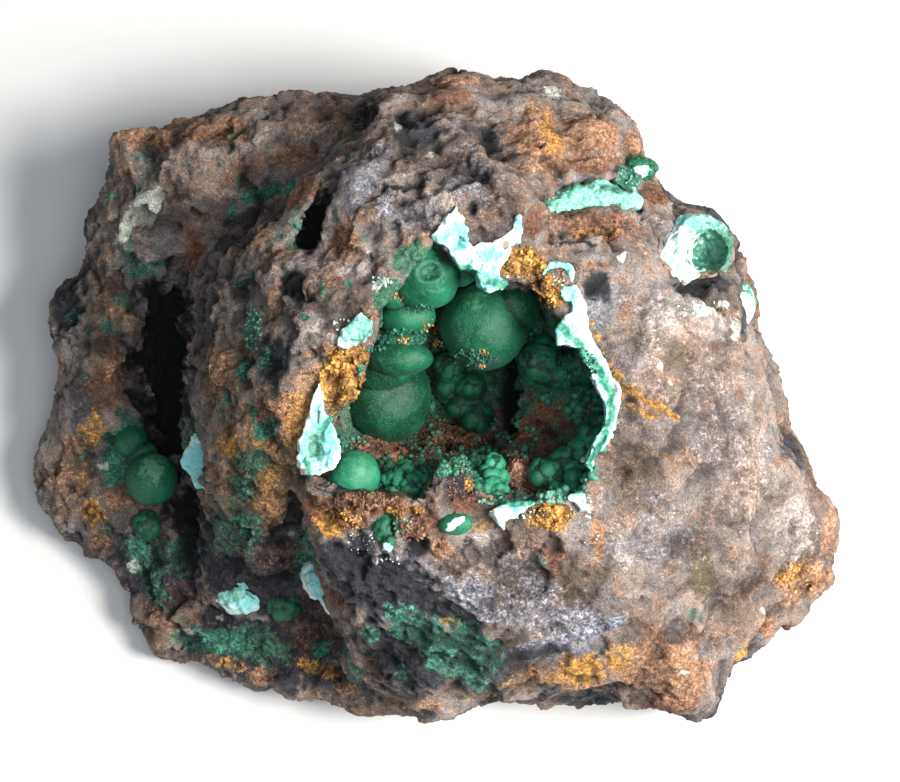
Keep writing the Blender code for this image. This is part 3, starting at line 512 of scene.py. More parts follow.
        (-8.2, -24.5, 0.8, 1.0, 0.7, 40), (-4.9, -28.5, 0.5, 1.0, 0.7), (-19.7, 6.1, 1.0, 2.2, 0.6, -12),
        (-20.7, 2.0, 0.5, 1.3), (-18.3, -3.9, 1.4, 1.2, 0.9), (-20.2, -6.9, 2.4, 1.3, 0.6),
        (-20.7, -9.6, 1.6, 2.0, 0.6), (-20.2, -13.4, 1.2, 2.0, 0.6), (-22.3, -0.8, 0.4, 0.8, 0.7),
        (-21.9, 18.1, 0.6, 0.8, 0.7), (-19.0, 19.6, 2.2, 0.8, 0.7, 20), (-15.9, 20.2, 1.6, 0.7, 0.8, 10),
        (-34.3, 19.4, 1.0, 1.5, 0.4), (-30.4, 12.0, 2.4, 0.8, 0.6, 12), (-33.0, 9.1, 1.0, 1.2, 0.6),
        (-34.3, 6.4, 0.9, 1.1, 0.6), (-29.7, 7.0, 0.6, 0.6, 0.7), (-32.0, -4.1, 1.7, 1.5),
        (-33.7, -7.6, 1.4, 2.2, 0.8), (-31.0, -15.7, 0.9, 1.5, 0.7), (-23.8, -24.9, 3.8, 1.2, 0.9),
        (-13.0, -25.7, 0.9, 1.1, 0.7), (-15.5, -24.2, 0.7, 0.5, 0.6), (-10.1, -26.3, 1.0, 0.6, 0.6),
        (-9.0, -28.0, 1.8, 0.9, 0.5), (17.8, 21.1, 1.4, 1.3, 0.9), (-10.0, 10.7, 0.5, 0.7, 0.8),
        (-12.6, 9.9, 0.25, 0.9, 0.9, 20), (-8.3, 15.1, 0.5, 0.3, 0.8), (24.7, -13.2, 1.4, 1.4, 0.35),
        (24.4, -22.5, 0.8, 0.5, 0.5), (-14.6, 7.4, 0.4, 0.4, 0.8), (-12.5, 7.8, 0.4, 0.3, 0.8),
        (-4.8, -13.0, 1.2, 1.0, 0.6), (-14.2, -16.0, 1.2, 3.4, 0.6), (9.0, -17.0, 0.7, 0.5, 0.5),
        (22.1, 8.7, 0.3, 0.5, 0.6), (5.6, -11.4, 1.6, 0.6, 0.7), (10.6, -10.4, 2.0, 0.5, 0.8),
        (-29.0, 14.8, 1.5, 1.5, 0.3), (-36.5, -16.0, 1.4, 1.0, 0.4),
    ],
    "pale": [
        (-30.6, 18.2, 1.4, 1.9, 1.0, -30), (-32.7, 15.7, 0.8, 1.1, 0.9, -30), (25.2, 8.1, 0.9, 0.9, 0.9),
        (27.3, 8.7, 0.6, 0.45), (17.1, 13.3, 0.35, 0.4, 0.8), (-5.2, 26.6, 0.45, 0.7),
        (-1.9, 23.8, 0.35, 0.35), (-7.0, 10.6, 0.8, 0.35, 0.9, 35), (20.9, 2.5, 0.35, 0.4, 0.6),
        (21.9, 0.7, 0.3, 0.4, 0.6), (10.1, 29.8, 1.1, 0.9, 0.7), (23.4, -28.2, 0.35, 0.3, 0.7),
        (31.3, -21.8, 0.4, 0.3, 0.6), (36.6, -14.0, 0.35, 0.35, 0.5), (13.5, -20.0, 0.7, 0.4, 0.4),
        (-31.9, -17.5, 0.8, 0.8, 0.45), (-26.6, -24.2, 0.8, 0.6, 0.6), (-23.1, -22.9, 0.5, 0.4, 0.6),
        (-24.1, 2.4, 0.6, 0.35, 0.7), (-34.7, -7.5, 0.8, 0.5, 0.5), (28.5, 6.3, 0.7, 1.3, 0.5),
        (19.2, 21.9, 0.7, 0.7, 0.6), (-15.6, -14.6, 0.6, 0.8, 0.6), (-19.9, -14.2, 0.5, 0.9, 0.4),
        (2.2, -7.6, 0.5, 0.5, 0.7), (0.2, -8.0, 0.9, 0.3, 0.7, 20), (-7.4, -17.0, 0.4, 0.3, 0.8),
    ],
    "steel": [
        (-3.0, -18.6, 4.0, 1.6, 0.6, -35), (10.0, -22.4, 5.0, 1.4, 0.5, 10),
        (-8.6, 21.0, 2.0, 4.0, 0.6, -35), (1.8, 21.6, 2.4, 3.4, 0.5, 10), (14.4, 8.2, 2.0, 3.0, 0.55, -40),
        (-3.0, 17.4, 3.0, 1.6, 0.5, 35), (-14.0, 12.8, 3.0, 2.0, 0.4, 40),
        (22.0, -14.0, 3.0, 5.0, 0.35, 20), (-30.0, 14.0, 4.0, 2.6, 0.4, 20),
        (27.0, -4.0, 3.0, 6.0, 0.3, 20), (18.0, 2.0, 2.0, 4.0, 0.35),
    ],
    "moss": [
        (-19.0, -25.6, 5.0, 2.4, 0.5, -15), (-29.5, -16.5, 4.0, 3.0, 0.45), (-22.0, -14.0, 4.0, 4.0, 0.4),
        (-26.0, -5.0, 2.0, 5.0, 0.4), (-3.7, 13.3, 1.5, 1.8, 1.0, -45), (-6.2, 9.8, 1.0, 1.6, 1.0, -35),
        (-10.0, -2.0, 1.0, 2.6, 0.7, 20),
    ],
    # dents whose near-black colour is painted shade
    "hollow": [
        (-27.9, 1.6, 2.9, 9.6), (-29.2, 9.0, 1.5, 3.0, 0.8, 10), (-13.5, 16.4, 1.2, 3.4, 1.0, -25),
        (-15.7, 10.7, 1.4, 1.6, 0.75), (6.2, -0.6, 1.3, 4.2, 1.0, 5), (-0.3, -5.4, 0.9, 0.9),
        (-15.6, -12.4, 0.8, 2.6, 0.9), (10.4, -15.6, 0.7, 1.2, 0.6), (14.9, 10.5, 0.8, 1.5, 0.7, -45),
        (4.0, 24.9, 0.6, 1.8, 0.6, 5), (24.6, 10.4, 2.4, 0.7, 0.8), (-8.6, 27.6, 1.6, 1.6, 0.8, 35),
        (18.3, -0.9, 0.4, 0.4, 0.9), (-3.6, -15.4, 1.3, 0.8, 0.9), (2.3, 18.2, 0.4, 0.8, 0.7),
        (-26.5, -13.0, 1.6, 4.0, 0.7),
    ],
    "smooth": [
        (29.0, -7.0, 8.0, 12.0), (8.0, -20.0, 9.0, 6.0, 0.6), (-29.0, 19.0, 8.0, 7.0, 0.5, 30),
        (20.0, 4.0, 5.0, 6.0, 0.6), (20.0, -18.0, 8.0, 8.0, 0.7), (-8.0, 8.0, 5.0, 4.0, 0.5, -40),
    ],
    "striped": [(-3.5, -20.5, 7.5, 6.0, 1.0, -30), (-10.0, -16.0, 4.0, 4.0, 0.8, -30)],
}

# thin lines of the same colours: (half width, the points it runs through)
strokes = {
    "ochre": [
        (0.22, [(13.7, 7.2), (14.9, 4.8), (16.1, 2.3), (16.9, 1.2)]),
        (0.3, [(17.1, 0.8), (19.0, -0.6), (21.0, -1.6), (22.8, -2.8)]),
        (0.25, [(17.3, -0.8), (19.0, -2.0), (20.7, -2.7)]),
    ],
    "tan": [
        (0.25, [(-15.6, 8.3), (-13.2, 6.2), (-10.8, 4.7)]),
        (0.3, [(-1.4, 17.0), (-0.6, 19.4), (1.2, 21.6)]),
    ],
    "darkCoatAndShade": [
        (0.13, [(1.6, -14.9), (1.3, -16.3), (1.8, -17.4)]),
        (0.14, [(5.2, -19.2), (6.3, -20.6), (6.0, -22.1)]), (0.12, [(4.4, -15.2), (5.1, -16.4)]),
        (0.12, [(-2.4, -19.5), (-1.7, -21.4)]), (0.2, [(-6.8, 20.4), (-4.6, 20.2), (-2.0, 21.2)]),
        (0.15, [(11.0, 14.6), (12.8, 14.9), (14.6, 14.3)]),
    ],
    "steel": [
        (0.7, [(3.4, -29.0), (6.0, -26.8), (9.4, -25.4), (13.0, -24.4), (16.6, -22.8)]),
        (0.4, [(7.4, -27.2), (11.0, -26.4), (14.0, -25.6)]),
        (0.5, [(-12.0, -15.0), (-8.0, -17.6), (-4.0, -20.2), (1.0, -23.4)]),
        (0.35, [(-13.0, -18.0), (-8.0, -21.4), (-3.0, -25.0)]),
    ],
}

rock = {
    "voxel": 0.29, "faces": 197000, "scrap": 1000, "backKept": 0.14, "awayFrom": (0.25, -0.1),
    "thinSteps": 10, "pull": (0.6, 0.95), "overlap": 0.1, "socketCalm": (0.15, 1.0),
    "footCalm": (0.0, 2.5), "waveDepth": 0.6, "chipSize": 3.6, "chipDepth": 1.7, "flakeSize": 1.5,
    "flakeDepth": 0.62, "ridgeDepth": 0.42, "ridgeTop": 0.35, "grainDepth": 0.24, "crustGrain": 0.8,
    "crustDepth": 0.18, "stripeSize": 0.9, "stripeDepth": 0.11, "stripeWay": (0.55, 0.83),
    "stripeWander": (3, 5), "wander": (0.35, 0.15), "pitFrom": 0.32, "pitMost": 0.5, "pitDepth": 1.2,
    "hollowDepth": 1.1, "smoothing": 0.65, "chipKept": 0.35, "flakeKept": 0.25, "grainKept": 0.6,
    "tallest": 0.3, "tallShare": 0.5, "reliefMiddle": 0.5, "reliefShare": 0.8,
}
# the noises that shape the rock: (size in mm, how many octaves, where it starts)
rockClouds = {
    "waves": (9.0, 3, 7.7), "lumps": (2.1, 4, 1.3), "grains": (0.75, 2, 5.2), "pits": (2.4, 3, 9.9),
    "broad": (13.0, 4, 2.2),
}
# what makes the edges of the marks ragged, and which marks are crumbly
raggedShares = {"lumps": 0.45, "grains": 0.35, "waves": 0.2}
crumblyShares = {"ochre": 1, "rust": 0.8, "orange": 0.4}
streaks = {"squash": (1, 1, 0.4), "size": 6.0, "octaves": 4, "start": 6.2}
# where the vug's green lining lies: inside this oval, below this height and a little past the mouth's edge
lining = {
    "middle": (1, 0.5), "half": (16, 15), "top": (11.5, 8.5), "bottom": -13, "past": 0.6,
    "broken": (-0.3, 0.2), "lumpShare": 0.5, "underRust": 0.8, "beads": 0.7,
}
# lines aren't drawn inside the vug: they are above this height or in front of this place
strokeArea = {"above": 4, "inFrontOf": -18}
# verdigris specks all over the left side
speckled = {"across": (-14, -20), "slant": 0.4, "pits": (0.2, 0.55), "strength": 0.5}
# the sides that the patches don't reach: (mark, noise, where it begins, where it is full, strength)
sideFacing = (0.5, 0.1)
sideMarks = [
    ("rust", "broad", 0.0, 0.5, 0.8), ("darkCoatAndShade", "broad", 0.1, -0.5, 0.8),
    ("orange", "streaks", 0.15, 0.7, 0.8), ("olive", "streaks", -0.1, -0.6, 0.8),
    ("verdigris", "pits", 0.45, 0.8, 0.6),
]
growthNodes = [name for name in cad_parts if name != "host_rock"]


def closeSockets(points):
    # the CAD keeps a small gap round each growth: here the rock closes up to it
    tree = treeOf([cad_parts[name] for name in growthNodes])
    near, far = rock["pull"]
    gaps = np.full(len(points), farOff)
    for i, point in enumerate(points):
        spot, _, _, distance = tree.find_nearest(Vector(point), far * 2 * mm)
        if spot is None:
            continue
        gaps[i] = distance / mm
        if gaps[i] < far:
            share = float(1 - smoothStep(near, far, gaps[i]))
            inward = (spot - Vector(point)).normalized() * rock["overlap"] * mm
            points[i] = Vector(point).lerp(spot + inward, share)
    return gaps


def strokeValue(lines, flat, ragged):
    value = np.zeros(len(flat))
    for halfWidth, line in lines:
        value = np.maximum(value, smoothStep(*soft["stroke"], fromLine(flat, line) / halfWidth + ragged))
    return value * ((flat[:, 2] > strokeArea["above"]) | (flat[:, 1] < strokeArea["inFrontOf"]))


def liningValue(flat, clouds):
    value = smoothStep(*lining["top"], flat[:, 2]) * (flat[:, 2] > lining["bottom"])
    value *= np.hypot(*ovalReach(flat, *lining["middle"], *lining["half"])) < 1
    value *= fromMouth(flat, True) < lining["past"]
    return value * smoothStep(*lining["broken"], clouds["waves"] + lining["lumpShare"] * clouds["lumps"])


def rockMarks(flat, facing, tree, clouds):
    ragged = sum(share * clouds[name] for name, share in raggedShares.items())
    marks = {kind: deepPatches(places, flat, ragged, tree) for kind, places in patches.items()}
    for kind, lines in strokes.items():
        marks[kind] = np.maximum(marks[kind], strokeValue(lines, flat, soft["strokeRagged"] * ragged))
    bare = 1 - lining["underRust"] * marks["rust"]
    marks["lining"] = np.maximum(liningValue(flat, clouds) * bare, marks["moss"])
    slanted = flat[:, 0] - speckled["slant"] * flat[:, 1]
    specks = smoothStep(*speckled["across"], slanted) * smoothStep(*speckled["pits"], clouds["pits"])
    marks["verdigris"] = np.maximum(marks["verdigris"], speckled["strength"] * specks)
    side = smoothStep(*sideFacing, facing)
    for kind, cloud, begin, full, strength in sideMarks:
        marks[kind] = np.maximum(marks[kind], side * smoothStep(begin, full, clouds[cloud]) * strength)
    return marks


def rockHeight(points, flat, marks, clouds):
    def kept(part):
        return rock[part] + (1 - rock[part]) * rough

    rough = 1 - rock["smoothing"] * marks["smooth"]
    lumpShare, grainShare = rock["wander"]
    wandering = points + (lumpShare * clouds["lumps"] + grainShare * clouds["grains"])[:, None] * mm
    chips = facetField(wandering, rock["chipSize"], starts["chips"])
    flakes = facetField(wandering, rock["flakeSize"], starts["flakes"])
    beads = cellField(points, rock["crustGrain"], starts["crustBeads"])[:, 0]
    ridges = rock["ridgeTop"] - np.abs(clouds["lumps"])
    height = rock["waveDepth"] * clouds["waves"] + rock["chipDepth"] * kept("chipKept") * chips
    height += kept("flakeKept") * (rock["flakeDepth"] * flakes + rock["ridgeDepth"] * ridges)
    height += rock["grainDepth"] * clouds["grains"] * kept("grainKept")
    pits = rock["pitDepth"] * rough * np.clip(clouds["pits"] - rock["pitFrom"], 0, rock["pitMost"])
    height -= pits + rock["hollowDepth"] * marks["hollow"]
    crumbly = np.clip(sum(share * marks[kind] for kind, share in crumblyShares.items()), 0, 1)
    height += rock["crustDepth"] * (crumbly + lining["beads"] * marks["lining"]) * beadHeight(beads)
    across, up = rock["stripeWay"]
    lumpShare, waveShare = rock["stripeWander"]
    phase = (flat[:, 0] * across + flat[:, 1] * up) / rock["stripeSize"] * 2 * math.pi
    stripes = np.sin(phase + (lumpShare * clouds["lumps"] + waveShare * clouds["waves"]))
    return height + rock["stripeDepth"] * marks["striped"] * stripes


def thinnedOut(mesh, facing):
    # the sides away from the camera are thinned first, then the flattest places all over
    away = smoothStep(*rock["awayFrom"], facing)

    def thinBack(holder):
        group = holder.vertex_groups.new(name="away")
        steps = np.round(away * rock["thinSteps"]).astype(int)
        for step in range(1, rock["thinSteps"] + 1):
            group.add(np.nonzero(steps == step)[0].tolist(), step / rock["thinSteps"], "REPLACE")
        thin = holder.modifiers.new("thinBack", "DECIMATE")
        thin.ratio = 1 - float(away.mean()) * (1 - rock["backKept"])
        thin.vertex_group = "away"

    mesh = modifiedMesh(mesh, thinBack)
    triangles = sum(len(p.vertices) - 2 for p in mesh.polygons)

    def thinFlats(holder):
        holder.modifiers.new("thinFlats", "DECIMATE").ratio = min(1, rock["faces"] / triangles)

    print("rock before its last thinning", triangles)
    return modifiedMesh(mesh, thinFlats)


def buildRock(material):
    mesh = voxelSkin(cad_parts["host_rock"].data.copy(), rock["voxel"])
    points = readPoints(mesh)
    gaps = closeSockets(points)
    writePoints(mesh, points)
    print("rock points", len(points))
    tree = BVHTree.FromPolygons([Vector(p) for p in points], [p.vertices[:] for p in mesh.polygons])
    flat = onPlane(points)
    normals = readNormals(mesh)
    clouds = {name: cloudField(points, *numbers) for name, numbers in rockClouds.items()}
    squashed = points * np.array(streaks["squash"])
    clouds["streaks"] = cloudField(squashed, streaks["size"], streaks["octaves"], streaks["start"])
    marks = rockMarks(flat, normals @ np.array(outDir), tree, clouds)
    height = rockHeight(points, flat, marks, clouds)
    height *= smoothStep(*rock["socketCalm"], gaps) * smoothStep(*rock["footCalm"], points[:, 2] / mm)
    tallest = rock["tallest"]
    height = np.where(height > tallest, tallest + rock["tallShare"] * (height - tallest), height)
    points += normals * (height * mm)[:, None]
    points[:, 2] = np.maximum(points[:, 2], 0)
    writePoints(mesh, points)
    # the displacement's height is kept for the look, which paints shade in the low places and light on the
    # high ones
    marks["relief"] = np.clip(rock["reliefMiddle"] + rock["reliefShare"] * height, 0, 1)
    for kind, data in marks.items():
        if kind not in ("smooth", "striped", "moss"):
            writeValues(mesh, kind, np.clip(data, 0, 1))
    mesh = cleanMesh(thinnedOut(mesh, readNormals(mesh) @ np.array(outDir)), rock["scrap"], mend=True)
    print("rock faces", len(mesh.polygons))
    return linkPiece("ironstone", mesh, material, ["host_rock"])


# the rock's own stone, from dark to light, then rusty dust and grey dust over it
bareStone = [
    (0.32, (0.085, 0.058, 0.048)), (0.45, (0.155, 0.118, 0.102)), (0.56, (0.235, 0.205, 0.188)),
    (0.68, (0.20, 0.19, 0.20)),
]
rustyDust = (0.7, 0.48, 0.68, (0.35, (0.125, 0.062, 0.036)), (0.7, (0.37, 0.232, 0.15)))
greyDust = (0.4, 0.52, 0.75, (0.35, (0.055, 0.052, 0.060)), (0.7, (0.22, 0.21, 0.23)))
# for each mark, how ragged its edge is, where it begins and is full, and its colours from dark to light
rockTones = {
    "tan": (
        0.9, 0.10, 0.80,
        (0.30, (0.19, 0.165, 0.15)), (0.5, (0.39, 0.34, 0.315)), (0.7, (0.68, 0.61, 0.56)),
    ),
    "olive": (0.9, 0.15, 0.80, (0.35, (0.040, 0.030, 0.014)), (0.7, (0.19, 0.135, 0.060))),
    "steel": (
        1.3, 0.15, 0.85,
        (0.36, (0.045, 0.050, 0.072)), (0.5, (0.15, 0.16, 0.20)), (0.66, (0.42, 0.43, 0.49)),
    ),
    "glint": (
        1.5, 0.20, 0.95,
        (0.38, (0.085, 0.087, 0.115)), (0.52, (0.34, 0.34, 0.39)), (0.66, (0.80, 0.80, 0.86)),
    ),
    # partly a dark coating, partly painted shade in the groove, the holes and the shaded lower left
    "darkCoatAndShade": (
        0.9, 0.15, 0.75,
        (0.35, (0.007, 0.007, 0.012)), (0.6, (0.030, 0.031, 0.043)), (0.75, (0.11, 0.11, 0.14)),
    ),
    "rust": (
        1.0, 0.15, 0.75,
        (0.35, (0.050, 0.018, 0.010)), (0.55, (0.19, 0.078, 0.042)), (0.7, (0.38, 0.18, 0.10)),
    ),
    "orange": (
        1.2, 0.15, 0.85,
        (0.34, (0.095, 0.038, 0.020)), (0.5, (0.30, 0.150, 0.078)), (0.66, (0.54, 0.35, 0.235)),
    ),
    "ochre": (
        1.0, 0.20, 0.75,
        (0.36, (0.11, 0.048, 0.014)), (0.5, (0.38, 0.18, 0.038)), (0.66, (0.78, 0.43, 0.09)),
    ),
    "lining": (0.6, 0.25, 0.60, (0.35, (0.014, 0.058, 0.034)), (0.7, (0.085, 0.24, 0.155))),
    "verdigris": (
        1.2, 0.25, 0.70,
        (0.35, (0.008, 0.055, 0.036)), (0.5, (0.025, 0.16, 0.105)), (0.68, (0.14, 0.40, 0.30)),
    ),
    "pale": (0.8, 0.25, 0.70, (0.3, (0.40, 0.46, 0.38)), (0.55, (0.74, 0.77, 0.68))),
    # near-black painted shade in the dents
    "hollow": (1.1, 0.2, 0.8, (0.35, (0.002, 0.002, 0.003)), (0.7, (0.009, 0.008, 0.009))),
}
# painted shade and highlight: how much the stone darkens low down, in its pits and between its specks, and
# lightens on top
paintedRockShade = {
    "relief": [(0.05, (0.30, 0.28, 0.28)), (0.5, (0.95, 0.95, 0.95)), (0.85, (1.3, 1.27, 1.22))],
    "pits": [(0.30, (0.28, 0.26, 0.26)), (0.46, (1, 1, 1)), (0.62, (1.25, 1.23, 1.2))],
    "specks": [(0.36, (0.26, 0.25, 0.25)), (0.5, (1, 1, 1)), (0.66, (1.9, 1.88, 1.85))],
}
# the look's noises: (size in mm, detail, roughness, distortion, kind)
rockNoises = {
    "broad": (7.0, 6, 0.65), "dust": (3.2, 8, 0.7, 0.5), "middle": (1.5, 8, 0.72, 0.4),
    "fine": (0.42, 5, 0.75), "grit": (0.2, 3, 0.7), "crags": (1.2, 6, 0.6, 0.3, "RIDGED_MULTIFRACTAL"),
}
rockGrain = {
    "crags": 0.45, "fine": 0.5, "grit": 0.25, "depth": 0.75, "gloss": (0.35, 0.7, 0.85, 0.5), "pits": 0.65,
    "specks": 0.6,
}


def rockLook():
    look = Look("ironstone")
    broad, dust, middle, fine, grit, crags = (look.cloud(*numbers) for numbers in rockNoises.values())
    ragged = look.add(look.around(fine, 1.0), look.around(middle, 1.2))

    # each mark's colours run dark to light with the fine noise that also raises the bump, so raised grains
    # are painted lighter and low grains painted darker
    def lay(value, under, spread, low, high, *tones):
        edge = look.add(value, look.times(ragged, spread))
        return look.mix(look.between(edge, low, high), under, look.ramp(fine, *tones))

    colour = lay(dust, look.ramp(broad, *bareStone), *rustyDust)
    colour = lay(look.maths("SUBTRACT", 1.0, dust), colour, *greyDust)
    for kind, numbers in rockTones.items():
        colour = lay(look.attribute(kind), colour, *numbers)
    # painted shade in the low places and painted highlight on the high ones
    colour = look.multiply(1.0, colour, look.ramp(look.attribute("relief"), *paintedRockShade["relief"]))
    colour = look.multiply(rockGrain["pits"], colour, look.ramp(middle, *paintedRockShade["pits"]))
    colour = look.multiply(rockGrain["specks"], colour, look.ramp(grit, *paintedRockShade["specks"]))
    height = look.add(look.times(crags, rockGrain["crags"]), look.times(fine, rockGrain["fine"]))
    height = look.add(height, look.times(grit, rockGrain["grit"]))
    normal = look.bump(height, 1.0, rockGrain["depth"])
    return look.finish(colour, look.between(fine, *rockGrain["gloss"]), normal)


# the balls that each growth is made of: (across, up, out, radius in mm or three radii)
globes = {
    "wall_globes": [
        (-6.4, -0.6, -5.8, (4.5, 4.7, 4.6)), (-2.5, 11.7, 7.5, 3.4), (-5.5, 9.9, 6.8, (1.8, 1.6, 2.0)),
        (-4.3, 7.4, 4.6, (2.7, 1.9, 2.6)), (-5.0, 3.3, 1.6, (3.2, 1.75, 2.8)),
        (-5.0, 5.4, 1.0, (2.9, 1.7, 2.6)), (-6.7, 2.4, -2.2, (2.9, 2.4, 2.9)),
        (-1.2, 13.7, 8.0, (2.1, 2.1, 1.8)), (1.2, 12.2, 6.6, 1.7),
    ],
    "hanging_globe": [(3.5, 6.6, 3.0, 4.35), (6.2, 8.2, 3.6, 2.6)],
    "right_globe": [
        (9.1, 2.7, 1.0, 2.35), (11.5, 1.8, 1.2, 1.7), (13.2, 2.5, 1.6, 2.1), (10.4, 1.4, 1.6, 1.3),
        (9.6, 4.1, 0.8, 1.5),
    ],
    "back_globe": [(10.8, 8.4, -1.2, 2.0)],
    "rim_globe": [(-9.6, -8.6, 7.3, 2.5)],
    "well_beads": [
        (2.6, -2.7, -10.2, 1.9), (2.0, 0.2, -10.0, 1.7), (1.1, -1.5, -10.3, 1.5), (-0.3, 2.2, -9.8, 1.6),
        (-0.5, 0.4, -10.6, 1.5),
    ],
    "front_beads": [
        (4.4, -7.3, 5.4, 1.1), (3.8, -8.5, 6.4, 1.1), (5.0, -8.6, 5.8, 1.0), (4.3, -9.6, 7.2, 1.1),
        (3.0, -9.9, 7.6, 1.2), (4.9, -10.2, 7.8, 1.0),
    ],
    "corner_beads": [
        (9.6, -8.4, 6.0, 1.7), (11.6, -7.2, 6.0, 1.6), (12.2, -8.9, 7.2, 1.1), (12.0, -10.0, 7.6, 1.2),
        (13.3, -6.2, 6.8, 1.6), (14.2, -4.6, 6.4, 1.6), (10.4, -9.8, 6.8, 1.2), (14.9, -3.0, 6.2, 1.3),
    ],
    "ledge_beads": [
        (-6.2, -9.1, 5.0, 1.0), (-5.2, -9.1, 5.4, 1.2), (-3.8, -9.5, 6.2, 1.2), (-2.8, -9.0, 5.6, 1.1),
        (-4.6, -8.0, 4.4, 1.1),
    ],
    "lip_bead": [(0.5, -13.2, 10.6, (1.6, 1.1, 1.2))],
    "lip_shard": [
        (-6.9, -13.3, 9.3, (1.0, 1.6, 1.2)), (-6.2, -15.0, 9.6, (0.7, 1.0, 0.9)),
        (-5.7, -12.0, 9.4, (1.3, 0.7, 1.1)), (-4.2, -11.8, 9.2, (1.1, 0.5, 0.9)),
    ],
    "side_bead": [(29.2, 8.6, -4.0, (1.3, 2.2, 1.6))],
    "crest_bead": [(18.8, 22.2, -1.6, (2.0, 1.3, 1.4))],
    "skirt_globe": [(-29.8, -8.8, -13.6, 2.7), (-32.0, -5.0, -14.4, 1.7), (-30.7, -6.6, -14.6, 1.6)],
    "skirt_bead": [(-30.2, -13.4, -14.2, 1.6)],
    "skirt_chip": [(-20.8, -20.5, -9.8, (2.0, 1.4, 1.5)), (-19.4, -18.9, -8.6, (1.7, 1.0, 1.2))],
    "skirt_nodule": [(-16.6, -21.4, -8.9, (1.7, 1.6, 1.3))],
    "gully_crust": [(-12.9, -18.6, -6.0, (1.5, 1.9, 1.4)), (-11.7, -20.1, -6.3, (1.1, 1.6, 1.3))],
    "slit_lining": [
        (12.4, 19.1, 5.6, (2.0, 1.6, 1.6)), (10.4, 18.3, 6.8, (1.6, 0.9, 1.2)),
        (14.9, 19.5, 4.6, (2.2, 1.6, 1.6)), (17.2, 18.9, 3.4, (1.9, 1.2, 1.4)),
    ],
}
globe = {
    "spare": 0.06, "voxelBig": 0.16, "voxelSmall": 0.12, "bigFrom": 2.5, "scrap": 100, "lumpSize": 2.6,
    "lump": 0.16, "grainSize": 0.45, "grain": 0.03, "ballLevel": 5, "free": (0.02, 0.2), "creaseShade": 0.55,
    "beadMiddle": 0.6, "beadCrease": 1.2, "ballCrease": 0.3, "lightness": 0.4, "ragged": 0.5,
}
# the dimple in the topmost globe
dimple = {
    "lipRing": (1.15, 0.3), "bowlRing": (0, 0.75), "dustRing": (0.25, 0.45), "shadeRing": (0.75, 0.25),
    "dust": 0.55, "shade": 0.8, "foldShade": 0.4, "across": -2.2, "up": 11.9, "wide": 1.3, "tall": 0.85,
    "depth": 0.7, "lip": 0.15, "fold": 2.2, "foldDepth": 0.06, "foldWide": 0.2, "wander": 0.35,
    "wanderSize": 0.9, "front": (7.6, 8.4),
}
# growths that are bunches of small beads: how wide a bead is and how far it stands out, in mm
pebbles = {
    "front_beads": (0.95, 0.30), "corner_beads": (1.55, 0.34), "ledge_beads": (0.9, 0.28),
    "well_beads": (1.7, 0.25), "skirt_nodule": (1.1, 0.2), "gully_crust": (0.9, 0.2),
    "back_globe": (1.5, 0.2), "lip_shard": (0.7, 0.2), "crest_bead": (0.8, 0.2),
    "right_globe": (1.3, 0.12), "skirt_bead": (0.9, 0.12),
}
# how light each growth is, from 0, deepest green, to 1, palest
lightness = {
    "rim_globe": 0.65, "front_beads": 0.8, "corner_beads": 0.6, "ledge_beads": 0.8, "lip_bead": 0.6,
    "well_beads": 0.45, "wall_globes": 0.45, "hanging_globe": 0.3, "right_globe": 0.5,
    "back_globe": 0.1, "skirt_globe": 0.5, "lip_shard": 0.35, "side_bead": 1.0,
}
# where a growth is broken to its pale inside, dusty or worn, and where painted shade is laid on it: over
# what lies deep in the vug, and in its holes and creases
growthMarks = {
    "broken": [
        (0.3, -13.4, 0.8, 0.35, 1.0, 40), (1.1, -12.9, 0.5, 0.25, 1.0, 30), (-6.2, -15.7, 0.6, 0.5),
        (29.4, 8.6, 1.2, 2.0), (19.2, 22.0, 0.8, 0.6, 0.6), (-7.8, 5.6, 0.9, 1.0, 0.8),
        (13.3, -6.9, 0.4, 0.4),
    ],
    "dusty": [
        (3.4, 3.2, 1.6, 0.7, 0.9), (-0.4, 12.6, 1.2, 1.6, 0.7, 20), (-4.4, 5.3, 2.6, 0.7, 0.9),
        (8.2, 3.2, 0.5, 0.5), (12.6, 3.4, 1.6, 1.0, 0.8), (-30.3, -8.8, 0.7, 0.9, 0.6),
        (1.0, 6.4, 0.8, 1.6, 0.5, 15), (5.6, 9.2, 1.6, 0.8, 0.45, -20), (-8.0, -3.0, 1.6, 1.2, 0.5, 30),
        (-5.0, 6.4, 1.6, 0.6, 0.6),
    ],
    "worn": [
        (-29.5, -8.0, 1.5, 1.4), (9.4, 4.2, 0.8, 0.6, 0.5), (-9.0, -7.4, 1.4, 1.0, 0.5, 30),
        (2.4, 8.6, 1.6, 1.2, 0.4, 30),
    ],
    # painted shade over what lies deep in the vug
    "deep": [(-6.6, -1.2, 5.0, 4.4, 0.45), (-5.0, 3.2, 3.6, 1.8, 0.15), (3.4, -1.0, 4.0, 4.0, 0.1)],
    # painted shade in holes and creases
    "paintedShade": [
        (7.7, 3.5, 0.55, 0.5), (-0.9, 13.6, 0.5, 1.3, 0.8, 20), (3.6, 3.0, 1.1, 0.5, 0.7),
        (10.9, 3.3, 0.5, 0.9, 0.7, 20),
    ],
}


def ballFrame(ball):
    across, up, out, radius = ball
    radii = radius if isinstance(radius, tuple) else (radius,) * 3
    return np.array(place(across, up, out)), np.array(radii) + globe["spare"]


def ballGap(points, ball):
    # the way from a ball's surface to each point, in mm, and the point of the surface below it
    middle, radii = ballFrame(ball)
    axes = np.array([acrossDir, upDir, outDir])
    local = (points - middle) / mm @ axes.T
    stretch = np.linalg.norm(local / radii, axis=1)
    onSurface = middle + (local / stretch[:, None]) @ axes * mm
    return np.linalg.norm(local, axis=1) * (1 - 1 / stretch), onSurface


